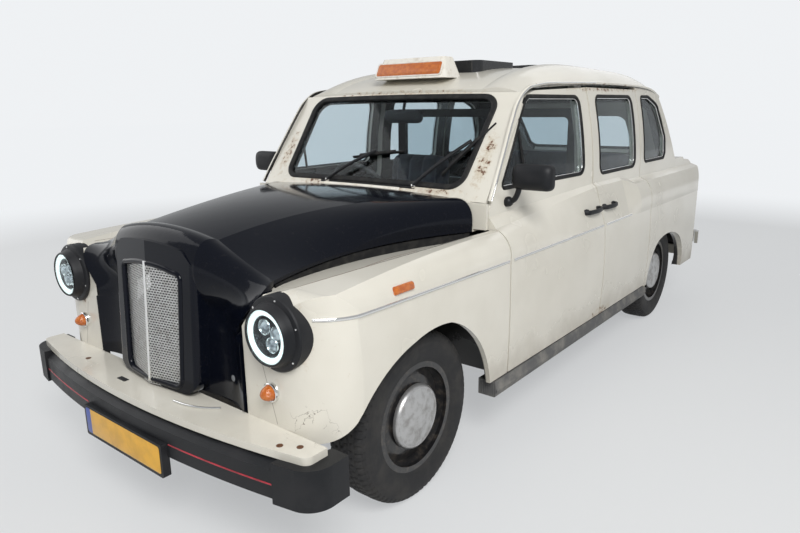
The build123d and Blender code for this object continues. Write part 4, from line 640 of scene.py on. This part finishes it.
# Wipers: sprung black arms on plated pivots, each holding a rubber blade against the glass.
arms, blades, pivots = [], [], []
for pivot, elbow, foot, tip in (((0.322, 0.046), (0.545, 0.300), (0.445, 0.118), (0.628, 0.405)),
                                ((-0.236, 0.044), (0.020, 0.222), (-0.130, 0.186), (0.184, 0.232))):
    ends = np.array((pivot, elbow))
    share = np.linspace(0, 1, 14)
    arm = ends[0] + share[:, None] * (ends[1] - ends[0])
    lift = 0.014 + 0.010 * np.sin(share * math.pi)
    arms.append(swept(screen_place(arm[:, 0], arm[:, 1], lift), bead(0.017, 0.005, 0.005), screen_out))
    line = np.array(foot) + share[:, None] * (np.array(tip) - np.array(foot))
    blades.append(swept(screen_place(line[:, 0], line[:, 1], -0.001), bead(0.010, 0.007, 0.006), screen_out))
    blades.append(swept(screen_place(line[2:-2, 0], line[2:-2, 1], 0.009), bead(0.017, 0.004, 0.005), screen_out))
    pivots.append(turned(((-0.004, 0.0), (-0.004, 0.013), (0.008, 0.012), (0.014, 0.009), (0.017, 0.005), (0.018, 0.0)),
                         screen_place(*pivot, 0.0), screen_out, 24))
as_piece("wiper_arms", "cab", black_plastic, joined(*arms))
as_piece("wiper_blades", "cab", rubber, joined(*blades))
as_piece("wiper_pivots", "cab", chrome, joined(*pivots))


# Small fittings of the body that keep their CAD shape: white sign housing, dark roof panels and lamp lenses.
sign_white = mottled("sign_housing", (0.78, 0.75, 0.68), (0.42, 0.34, 0.24), 0.45, (30.0, 7.0, 0.65, 0.45, 0.72), 0.4,
                     (260.0, 3.0, 0.0003))
paint(sign_white, "roof_sign")
roof_glass, shader, plain = new_finish("roof_glass", (0.012, 0.013, 0.015), 0.12, coat=0.4)
feed(shader, "Roughness", plus(times(step(noise(plain, 12.0, 6.0), 0.4, 0.7), 0.25), 0.10))
bump(shader, noise(plain, 90.0, 2.0), 0.0002)
paint(roof_glass, "sunroofs")
wheel_black = mottled("wheel_black", (0.010, 0.010, 0.011), (0.11, 0.09, 0.07), 0.5, (40.0, 7.0, 0.65, 0.45, 0.75), 0.3,
                      (180.0, 3.0, 0.0002), coat=0.3)
paint(wheel_black, "front_wheel_left", "front_wheel_right", "rear_wheel_left", "rear_wheel_right")
tail_lens, shader, plain = new_finish("tail_lens", (0.45, 0.01, 0.01), 0.18, coat=0.6)
height_z = axes(plain)[2]
lens_colour = blend_colour(step(height_z, 0.744, 0.746), (0.45, 0.01, 0.01), (0.80, 0.24, 0.02))
feed(shader, "Base Color", blend_colour(step(height_z, 0.646, 0.644), lens_colour, (0.75, 0.74, 0.72)))
relief(tail_lens, 0.0008, "Wave", Scale=90.0, bands_direction="Z")
paint(tail_lens, "tail_lamps")


# Roof sign: a white moulded housing with a domed amber lens across its front, left blank.
sign_lens = ((0.416, 0.066, 0.012, -0.004), (0.416, 0.066, 0.012, 0.003), (0.408, 0.058, 0.012, 0.006),
             (0.380, 0.034, 0.008, 0.008))
sign_centre = np.array((0.0, -0.5435, 1.687))
sign_up = np.array((0.0, 0.048, 0.105)) / math.hypot(0.048, 0.105)
as_piece("sign_lens", "cab", amber, plaque(sign_lens, sign_centre, (1, 0, 0), sign_up))
sign_rim = rounded_box(0.424, 0.074, 0.014, 8)
sign_path = sign_centre + sign_rim[:, :1] * np.array((1.0, 0, 0)) + sign_rim[:, 1:] * sign_up
as_piece("sign_rim", "cab", sign_white, swept(sign_path, bead(0.010, 0.004, 0.004), (0, -0.91, 0.415), closed=True))


# Gutters: a folded steel drip rail along each roof edge, with a bright strip pushed over its lip.
# It starts at the foot of the windscreen post and ends behind the rear door.
def drip_rail(name, points, width, finish):
    line = smooth_path(points, 90)
    facing = np.stack([line[:, 0] * 0 + 1.0, line[:, 1] * 0, line[:, 2] * 0 + 0.25], axis=-1)
    return as_piece(name, "cab", finish, both(swept(line, bead(width, 0.0055, 0.006), facing)))


rail_line = ((0.741, -0.936, 1.098), (0.735, -0.880, 1.184), (0.724, -0.800, 1.300), (0.711, -0.715, 1.425),
             (0.703, -0.640, 1.520), (0.703, -0.560, 1.572), (0.706, -0.440, 1.594), (0.709, -0.200, 1.604),
             (0.711, 0.200, 1.612), (0.711, 0.700, 1.611), (0.711, 0.960, 1.605), (0.710, 1.200, 1.580),
             (0.709, 1.330, 1.545))
drip_rail("gutter_rails", rail_line, 0.018, cream)
bright_line = [(x + 0.0050, y, z + 0.001) for x, y, z in rail_line[:9]]
drip_rail("gutter_strips", bright_line, 0.007, chrome)


# Scuttle: the white louvred air intake between the bonnet and the windscreen, with a black strip above it
# that is painted shadow for the gap there.
# Its slots are pressed up out of the panel in one row.
louvre_step, vent_half, vent_rise = 0.0125, 0.012, 0.020
across, along = np.meshgrid(np.linspace(-0.255, 0.245, 401), np.linspace(-vent_half, vent_half, 9))
wave = np.clip(np.sin(across * 2 * math.pi / louvre_step), -0.2, 0.8) * np.clip(1.3 - np.abs(along) / 0.010, 0, 1)
vent_top = screen_place(across, vent_rise + along, 0.004 + 0.005 * wave)
vent_low = screen_place(across, vent_rise + along, -0.006)
as_piece("scuttle_vent", "cab", sign_white, grid(np.concatenate([vent_low[:1], vent_top, vent_low[-1:]])), 60.0)
# A black rubber strip laid over the gap above the vent: painted shadow.
shadow_gap_line = screen_place(np.linspace(-0.285, 0.330, 40), 0.038, 0.0)
as_piece("scuttle_gap_shadow", "cab", rubber, swept(shadow_gap_line, bead(0.012, 0.003, 0.003), screen_out))


# Interior mirror: a dark moulded shell on a short stem under the roof's front edge, with its glass facing back.
mirror_shell = ((0.232, 0.060, 0.024, -0.012), (0.240, 0.068, 0.026, -0.004), (0.240, 0.068, 0.026, 0.010),
                (0.200, 0.040, 0.018, 0.020))
mirror_up = (0, -0.17, 0.985)
as_piece("mirror_shell", "cab", black_plastic, plaque(mirror_shell, (0.0, -0.585, 1.448), (1, 0, 0), mirror_up))
stem = smooth_path([(0, -0.588, 1.46), (0, -0.580, 1.50), (0, -0.560, 1.552)], 10)
as_piece("mirror_stem", "cab", black_plastic, swept(stem, rod(0.008), (0, -1, 0)))
mirror_face = ((0.226, 0.054, 0.020, 0.0), (0.226, 0.054, 0.020, 0.003))
as_piece("mirror_glass", "cab", chrome, plaque(mirror_face, (0.0, -0.574, 1.446), (-1, 0, 0), mirror_up))


# Door fittings: moulded black mirror heads on stalks from the front doors, and pull handles either side of the seam.
# Each mirror has silvered glass set in its back.
HANDLE_Z = 0.950
HANDLE_PAD = ((0.046, 0.030, 0.012, -0.004), (0.046, 0.030, 0.012, 0.006), (0.040, 0.024, 0.010, 0.009))


def pull_handle(low_y, high_y):
    """A flattened bar that leaves the door at one end, runs along it and comes back at the other."""
    ends = ((0.834, 0.0), (0.852, 0.010), (0.860, 0.040))
    line = [(x, low_y + in_y, HANDLE_Z) for x, in_y in ends] + [(x, high_y - in_y, HANDLE_Z) for x, in_y in ends[::-1]]
    oval = rod(1.0, 16) * (0.0125, 0.0060)
    pads = [plaque(HANDLE_PAD, (0.833, y, HANDLE_Z), (0, 1, 0), (0, 0, 1)) for y in (low_y + 0.020, high_y - 0.020)]
    return joined(swept(smooth_path(line, 40), oval, (1, 0, 0)), *pads)


head = ((0.180, 0.102, 0.022, -0.0020), (0.190, 0.112, 0.026, 0.0005), (0.190, 0.112, 0.028, 0.022),
        (0.182, 0.104, 0.030, 0.036), (0.160, 0.084, 0.030, 0.047), (0.118, 0.050, 0.020, 0.0523))
head_x, head_z = 0.865, 1.195
stalk = [(0.752, -0.797, 1.083), (0.778, -0.797, 1.092), (0.796, -0.797, 1.120), (0.806, -0.797, 1.160)]
foot = ((-0.014, 0.0), (-0.014, 0.021), (0.004, 0.023), (0.014, 0.019), (0.020, 0.010), (0.022, 0.0))
mirror_arm = joined(swept(smooth_path(stalk, 16), rod(0.0125, 16), (0, -1, 0)),
                    turned(foot, stalk[0], (0.96, 0.0, 0.28), 24))
mirror_head = plaque(head, (head_x, -0.7725, head_z), (1, 0, 0), (0, 0, 1))
door_glass = ((0.168, 0.092, 0.016, -0.002), (0.168, 0.092, 0.016, 0.002), (0.164, 0.088, 0.015, 0.003))
front_fittings = joined(mirror_head, mirror_arm, pull_handle(-0.129, 0.068))
rear_fittings = pull_handle(0.112, 0.288)
for side, mark in SIDES:
    for end, node, shape in (("front", "front_door_fittings", front_fittings),
                             ("rear", "rear_door_handle", rear_fittings)):
        fittings = as_piece(f"{end}_fittings_{mark}", f"{end}_door_{mark}", black_plastic,
                            shape if side > 0 else mirrored(shape))
        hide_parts(f"{node}_{mark}")
    as_piece(f"door_mirror_glass_{mark}", f"front_door_{mark}", chrome,
             plaque(door_glass, (side * head_x, -0.770, head_z), (-1, 0, 0), (0, 0, 1)))


# Front bumper trim: a thin red line let into its face on each side of the plate.
stripe_red = mottled("stripe_red", (0.50, 0.03, 0.05), (0.28, 0.02, 0.03), 1.0, (18.0, 5.0, 0.55, 0.35, 0.65), 0.4,
                     middle=(0.42, 0.02, 0.03))
stripe, facing = on_panel("front_bumper", [(x, -2.2, 0.383) for x in np.linspace(0.278, 0.748, 40)], (0, 1, 0))
as_piece("bumper_stripe", "cab", stripe_red, both(swept(stripe, bead(0.006, 0.0015, 0.001), facing)))


# Number plates: plain pressed plates with nothing on them, yellow with a blue band at one end.
plate_yellow, shader, plain = new_finish("plate_yellow", (0.80, 0.42, 0.02), 0.35, coat=0.3)
band = step(times(axes(plain)[0], -1.0), 0.2195, 0.2205)
yellow = blend_colour(step(noise(plain, 16.0, 5.0), 0.35, 0.7), (0.80, 0.42, 0.02), (0.66, 0.34, 0.02))
feed(shader, "Base Color", blend_colour(band, yellow, (0.01, 0.05, 0.36)))
relief(plate_yellow, 0.0002, "Voronoi", Scale=380.0)


def plate(name, body, place, across, lift):
    """A blank plate at a lift off its bracket, over a dark edge that shows round it at three fifths of that."""
    low = lift * 0.6
    face = ((0.512, 0.104, 0.010, lift - 0.002), (0.512, 0.104, 0.010, lift + 0.0005),
            (0.508, 0.100, 0.009, lift + 0.0012))
    edge = ((0.520, 0.112, 0.012, low - 0.002), (0.520, 0.112, 0.012, low + 0.0002),
            (0.516, 0.108, 0.011, low + 0.0006))
    as_piece(name, body, plate_yellow, plaque(face, place, across, (0, 0, 1)))
    as_piece(f"{name}_edge", body, black_plastic, plaque(edge, place, across, (0, 0, 1)))


plate("front_plate", "cab", (0.0, -2.2895, 0.324), (1, 0, 0), 0.001)


# Wheels: domed pressed hub caps over black steel wheels, and tyres moulded with ribs and blocks.
hub_silver = mottled("hub_silver", (0.50, 0.50, 0.50), (0.33, 0.32, 0.31), 1.0, (26.0, 7.0, 0.6, 0.40, 0.70),
                     (0.30, 0.18), (320.0, 3.0, 0.0002), (0.46, 0.46, 0.46), metallic=0.75)
hub = ((0.052, 0.1220), (0.056, 0.1292), (0.064, 0.1292), (0.0745, 0.1240), (0.0785, 0.1180), (0.0785, 0.1140),
       (0.0765, 0.1110), (0.0775, 0.1075), (0.0805, 0.0950), (0.0850, 0.0600), (0.0885, 0.0300), (0.0895, 0.0))
tyre_rubber = mottled("tyre_rubber", (0.011, 0.011, 0.012), (0.060, 0.054, 0.046), 0.35, (10.0, 7.0, 0.6, 0.40, 0.72),
                      0.75, (400.0, 3.0, 0.0003), (0.020, 0.020, 0.021))


def tyre_shape(centre, steps=288):
    """A tyre's section carried round the wheel: smooth walls with raised rings, and a grooved tread.

    The tread's depth is taken off where the section crosses one of four grooves, or a cross cut in its shoulders."""
    half = smooth_path([(-0.069, 0.206), (-0.075, 0.221), (-0.084, 0.243), (-0.0885, 0.274), (-0.086, 0.303),
                        (-0.078, 0.323), (-0.063, 0.3355), (-0.040, 0.3392), (0.0, 0.3399)], 36)
    section = np.vstack([half, half[-2::-1] * (-1, 1)])
    out, radius = section[:, 0], section[:, 1]
    wall = 0.0012 * (np.abs(radius - 0.296) < 0.003) + 0.0010 * (np.abs(radius - 0.232) < 0.003)
    grooves = sum(np.exp(-((out - place) / 0.0032) ** 4) for place in (-0.044, -0.016, 0.016, 0.044))
    turn = np.linspace(0, 2 * math.pi, steps, endpoint=False)[:, None]
    phase = np.sin(turn * 72 + np.sign(out) * 0.9 + out * 60)
    cuts = (phase > 0.72) * (np.abs(out) > 0.047) * (radius > 0.318) + (phase < -0.86) * (np.abs(out) < 0.040)
    depth = 0.0065 * np.clip(grooves + cuts, 0, 1) * (radius > 0.318)
    side = out + np.sign(out) * wall
    reach = radius - depth
    points = np.stack([side + 0 * turn, reach * np.cos(turn), reach * np.sin(turn)], axis=-1)
    return grid(points + centre, wrap_rows=True, wrap_columns=True)


for end, axle_y in (("front", -1.520), ("rear", 1.290)):
    for side, mark in SIDES:
        centre = np.array((side * 0.711, axle_y, 0.340))
        body = f"{end}_wheel_{mark}"
        as_piece(f"{end}_hub_cap_{mark}", body, hub_silver, turned(hub, centre, (side, 0, 0), 72), 30.0)
        tyre = as_piece(f"{end}_road_tyre_{mark}", body, tyre_rubber, tyre_shape(centre), 30.0)
        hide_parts(f"{end}_tyre_{mark}")


# Sills: grey ribbed rubber treads on the steps below the doors.
step_grey = mottled("step_grey", (0.10, 0.10, 0.10), (0.22, 0.21, 0.19), 1.0, (12.0, 7.0, 0.6, 0.38, 0.72), 0.7,
                    middle=(0.13, 0.13, 0.13))
relief(step_grey, 0.0015, "Wave", Scale=34.0, bands_direction="X")
paint(step_grey, "sills")


# Bonnet seals: black rubber strips standing on the wings, which close the gap below the bonnet's sides; their
# black is both the seals' own colour and painted shade for the shadow in that gap.
seal_y = np.linspace(-0.985, -1.975, 60)
skirt_z = np.interp(-seal_y, (0.975, 1.520, 1.985), (0.965, 0.955, 0.933))
skirt, _ = on_panel("bonnet", [(0.5, y, z + 0.006) for y, z in zip(seal_y, skirt_z)], (-1, 0, 0))
skirt[:, 2] -= 0.011
foot, _ = on_panel("front_wings", [(x - 0.004, y, 0.80) for x, y, z in skirt], (0, 0, -1))
count = min(len(skirt), len(foot))
top, low = skirt[:count], np.minimum(foot[:count, 2], skirt[:count, 2] - 0.006) - 0.003
wall = np.stack([top + (-0.001, 0, 0), top + (-0.009, 0, 0), np.column_stack([top[:, 0] - 0.009, top[:, 1], low]),
                 np.column_stack([top[:, 0] - 0.001, top[:, 1], low])], axis=1)
# The black strips fill the shadowed gap as painted shade as well as seals.
as_piece("bonnet_seals_and_gap_shade", "cab", rubber, both(capped(grid(wall, wrap_columns=True), 4)))


# Shelf holes: two rusty screw holes and a small black grid in the shelf behind the bumper.
grommet = ((-0.002, 0.0), (-0.002, 0.011), (0.0012, 0.011), (0.0016, 0.009), (0.0008, 0.006), (0.0004, 0.0))
rusty = mottled("rusty_iron", (0.03, 0.012, 0.008), (0.20, 0.08, 0.03), 1.0, (160.0, 6.0, 0.55), 0.8,
                (300.0, 5.0, 0.0006), (0.09, 0.04, 0.02))
hole_places = ((-0.458, -2.164), (0.735, -2.160), (0.792, -2.128))
as_piece("shelf_holes", "cab", rusty,
         joined(*[turned(grommet, (x, y, shelf_top), (0, 0, 1), 20) for x, y in hole_places]))
grid_x, grid_y, grid_half = -0.137, -2.188, 0.026
tray = ((0.056, 0.022, 0.003, -0.002), (0.056, 0.022, 0.003, 0.0008))
slots = [plaque(tray, (grid_x, grid_y, shelf_top), (1, 0, 0), (0, 1, 0))]
for y in np.linspace(grid_y - 0.008, grid_y + 0.008, 4):
    bar = [(grid_x - grid_half, y, shelf_top + 0.001), (grid_x + grid_half, y, shelf_top + 0.001)]
    slots.append(swept(bar, bead(0.003, 0.0016, 0.001), (0, 0, 1)))
as_piece("shelf_grid", "cab", black_plastic, joined(*slots))


# Seats: foam cushions and backs under dark blue-grey woven cloth, with sewn channels.
# Each starts as a rounded block a little under its size and is blown up gently as cloth.
seat_cloth, shader, plain = new_finish("seat_cloth", (0.035, 0.042, 0.060), 0.85)
shader.inputs["Sheen Weight"].default_value = 0.25
weave = most(*[texture(plain, "Wave", "Fac", Scale=180.0, bands_direction=way) for way in "XY"])
feed(shader, "Base Color", blend_colour(times(weave, step(noise(plain, 9.0, 5.0), 0.3, 0.7)),
                                        (0.024, 0.028, 0.042), (0.060, 0.072, 0.095)))
bump(shader, weave, 0.0005)
SWELL_CAP, SWELL_FRAMES, CREASE_DEPTH, CREASE_WIDTH = 0.014, 20, 0.008, 0.011


def signed_power(wave, power):
    return np.sign(wave) * np.abs(wave) ** power


def vertex_places(mesh):
    places = np.empty(len(mesh.vertices) * 3)
    mesh.vertices.foreach_get("co", places)
    return places.reshape(-1, 3)


def stuffed(name, node, size, centre, lean, channels, voxel):
    """A cushion whose half width, depth and height follow cosines and sines raised to small powers.

    It swells as cloth, no point by more than the cap, and each channel presses a soft crease across its faces."""
    low, turn = np.meshgrid(np.linspace(-math.pi / 2, math.pi / 2, 33),
                            np.linspace(-math.pi, math.pi, 64, endpoint=False), indexing="ij")
    ring = signed_power(np.cos(low), 0.45)
    block = np.stack([ring * signed_power(np.cos(turn), 0.30), ring * signed_power(np.sin(turn), 0.30),
                      signed_power(np.sin(low), 0.55)], axis=-1) * np.array(size) / 2
    level = np.array(((1, 0, 0), (0, math.cos(lean), -math.sin(lean)), (0, math.sin(lean), math.cos(lean))))
    points, faces = grid(block @ level.T + centre, wrap_columns=True)
    pad = as_piece(name, "cab", seat_cloth, (points, faces), 180.0)
    remesh = pad.modifiers.new("even", "REMESH")
    remesh.mode = "VOXEL"
    remesh.voxel_size = voxel
    remesh.use_smooth_shade = True
    pad.data = bpy.data.meshes.new_from_object(pad.evaluated_get(bpy.context.evaluated_depsgraph_get()))
    pad.modifiers.clear()
    start = swollen = vertex_places(pad.data)
    cloth = pad.modifiers.new("swell", "CLOTH").settings
    cloth.use_pressure = True
    cloth.uniform_pressure_force = 4.0
    cloth.effector_weights.gravity = 0.0
    for frame_number in range(1, SWELL_FRAMES + 1):
        bpy.context.scene.frame_set(frame_number)
    swollen = vertex_places(pad.evaluated_get(bpy.context.evaluated_depsgraph_get()).to_mesh())
    pad.modifiers.clear()
    bpy.context.scene.frame_set(1)
    move = swollen - start
    reach = np.linalg.norm(move, axis=1, keepdims=True)
    placed = start + move * np.minimum(1.0, SWELL_CAP / np.maximum(reach, 1e-9))
    flat = (placed - centre) @ level
    crease = sum(np.exp(-((flat[:, axis] - place) / CREASE_WIDTH) ** 2) for axis, place in channels)
    flat[:, 2] -= np.sign(flat[:, 2]) * CREASE_DEPTH * np.clip(crease, 0, 1) * (np.abs(flat[:, 2]) > 0.2 * size[2])
    pad.data.vertices.foreach_set("co", (flat @ level.T + centre).ravel())
    pad.data.polygons.foreach_set("use_smooth", [True] * len(pad.data.polygons))
    pad.data.materials.clear()
    pad.data.materials.append(seat_cloth)
    rounder = pad.modifiers.new("round", "SUBSURF")
    rounder.levels = rounder.render_levels = 1
    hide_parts(node)


BACK_LEAN = math.radians(84.5)
front_channels = [(0, x) for x in (-0.15, -0.05, 0.05, 0.15)]
rear_channels = [(0, x) for x in (-0.44, -0.33, -0.22, -0.11, 0.0, 0.11, 0.22, 0.33, 0.44)]
stuffed("driver_cushion", "driver_seat", (0.470, 0.400, 0.108), (-0.370, -0.195, 0.672), 0.0, front_channels, 0.007)
stuffed("driver_backrest", "driver_seat", (0.460, 0.500, 0.100), (-0.370, 0.042, 0.960), BACK_LEAN, front_channels,
        0.007)
stuffed("rear_cushion", "rear_seat", (1.090, 0.390, 0.108), (0.0, 1.185, 0.661), 0.0, rear_channels, 0.009)
stuffed("rear_backrest", "rear_seat", (1.090, 0.440, 0.098), (0.0, 1.470, 0.940), BACK_LEAN, rear_channels, 0.009)


# Tail fittings: a plated boot handle over a plain yellow plate, and small red reflectors on the rear wings.
tail_face = on_panel("boot_lid", [(0.0, 2.19, 0.66), (0.0, 2.19, 0.765)], (0, -1, 0))[0]
plate("rear_plate", "boot_lid", tail_face[0], (-1, 0, 0), 0.001)
grip = ((0.200, 0.030, 0.012, -0.003), (0.200, 0.030, 0.012, 0.008), (0.180, 0.022, 0.010, 0.016),
        (0.150, 0.010, 0.004, 0.019))
as_piece("boot_handle", "boot_lid", chrome, plaque(grip, tail_face[1], (-1, 0, 0), (0, 0, 1)))
red_lens, shader, plain = new_finish("red_reflector", (0.40, 0.008, 0.01), 0.2, coat=0.5)
facets = texture(plain, "Voronoi", "Distance", Scale=260.0)
feed(shader, "Base Color", blend_colour(facets, (0.50, 0.012, 0.015), (0.26, 0.004, 0.006)))
bump(shader, facets, 0.0008)
spot, spot_out = on_panel("rear_body", [(0.70, 2.19, 0.555)], (0, -1, 0))
reflector = ((-0.002, 0.0), (-0.002, 0.030), (0.006, 0.030), (0.009, 0.026), (0.010, 0.0))
as_piece("rear_reflectors", "cab", red_lens, both(turned(reflector, spot[0], spot_out[0], 32)))


# Nose plug and wing seams: a grey rubber plug low on the nose's side, and the filled joints along the wings'
# inner tops.
plug_rubber = mottled("plug_rubber", (0.12, 0.13, 0.14), (0.22, 0.23, 0.24), 1.0, (90.0, 4.0, 0.55), 0.6,
                      (300.0, 3.0, 0.0003), (0.16, 0.17, 0.18))
plug_spot, plug_out = on_panel("bonnet", [(0.395, -2.0, 0.588)], (0, 1, 0))
plug = ((-0.003, 0.0), (-0.003, 0.0115), (0.0015, 0.0115), (0.003, 0.009), (0.0034, 0.0))
as_piece("nose_plug", "bonnet", plug_rubber, turned(plug, plug_spot[0], plug_out[0], 24))
above_wing = 0.9
seam_plan = ((0.645, -1.985), (0.640, -1.860), (0.630, -1.750), (0.605, -1.569), (0.590, -1.434), (0.598, -1.271))
seam_line = smooth_path([(x, y, above_wing) for x, y in seam_plan], 70)
seam_path, seam_out = on_panel("front_wings", seam_line, (0, 0, -1))
as_piece("wing_seams", "cab", rusty, both(swept(seam_path, bead(0.0022, 0.0005, 0.0005), seam_out)))


# Stage: a plain pale floor that the camera sees as near white, and soft studio light from above and the front.
def seen_share(tree, mirrored):
    """1 for what the camera sees, at once or through glass, a share of it for what it sees mirrored, else 0."""
    rays = add_node(tree, "LightPath").outputs
    return most(rays["Is Camera Ray"], times(rays["Is Glossy Ray"], mirrored), rays["Is Transmission Ray"])


reach = 60.0
floor_mesh = bpy.data.meshes.new("floor")
floor_mesh.from_pydata([(-reach, -reach, 0), (reach, -reach, 0), (reach, reach, 0), (-reach, reach, 0)], [],
                       [(0, 1, 2, 3)])
floor = bpy.data.objects.new("floor", floor_mesh)
bpy.context.scene.collection.objects.link(floor)
floor_finish, shader, place = new_finish("pale_floor", (0.66, 0.66, 0.65), 0.9)
floor_mesh.materials.append(floor_finish)
tree = floor_finish.node_tree
away = add_node(tree, "VectorMath", operation="LENGTH", in0=place).outputs["Value"]
faded_share = times(seen_share(tree, 1.0), most(step(away, 2.5, 9.0), 0.50))
backdrop = add_node(tree, "Emission", Color=(0.86, 0.88, 0.90, 1.0))
faded = add_node(tree, "MixShader", in0=faded_share, in1=shader.outputs["BSDF"], in2=backdrop.outputs["Emission"])
tree.links.new(faded.outputs["Shader"], tree.nodes["Material Output"].inputs["Surface"])

world = bpy.data.worlds.new("studio")
bpy.context.scene.world = world
world.use_nodes = True
sky = world.node_tree.nodes["Background"]
sky.inputs["Color"].default_value = (0.91, 0.93, 0.95, 1.0)
sky_seen = seen_share(world.node_tree, 0.30)
strength = add_node(world.node_tree, "MapRange", Value=sky_seen, To_Min=0.34, To_Max=0.95)
world.node_tree.links.new(strength.outputs["Result"], sky.inputs["Strength"])


def lamp(name, size, power, place, aim):
    """A soft square light at a place, turned towards a point."""
    data = bpy.data.lights.new(name, "AREA")
    data.size = size
    data.energy = power
    light = bpy.data.objects.new(name, data)
    light.location = place
    light.rotation_euler = (Vector(aim) - Vector(place)).to_track_quat("-Z", "Y").to_euler()
    bpy.context.scene.collection.objects.link(light)


car_middle = (0, 0, 0.8)
lamp("key_light", 3.0, 400, (4.5, -4.5, 5.0), car_middle)
lamp("fill_light", 6.0, 140, (-6.0, -3.0, 4.0), car_middle)
lamp("back_light", 5.0, 50, (0.0, 7.0, 5.0), car_middle)

camera_place = (2.148, -3.327, 1.497)
camera_yaw, camera_pitch, camera_roll = 0.6731, 0.2430, -0.0117
camera_data = bpy.data.cameras.new("camera")
camera_data.sensor_width = 36.0
camera_data.lens = 28.96
camera = bpy.data.objects.new("camera", camera_data)
camera.matrix_world = (Matrix.Translation(camera_place) @ Matrix.Rotation(camera_yaw, 4, "Z")
                       @ Matrix.Rotation(math.pi / 2 - camera_pitch, 4, "X") @ Matrix.Rotation(camera_roll, 4, "Z"))
bpy.context.scene.collection.objects.link(camera)
bpy.context.scene.camera = camera
bpy.context.scene.view_settings.view_transform = "Standard"
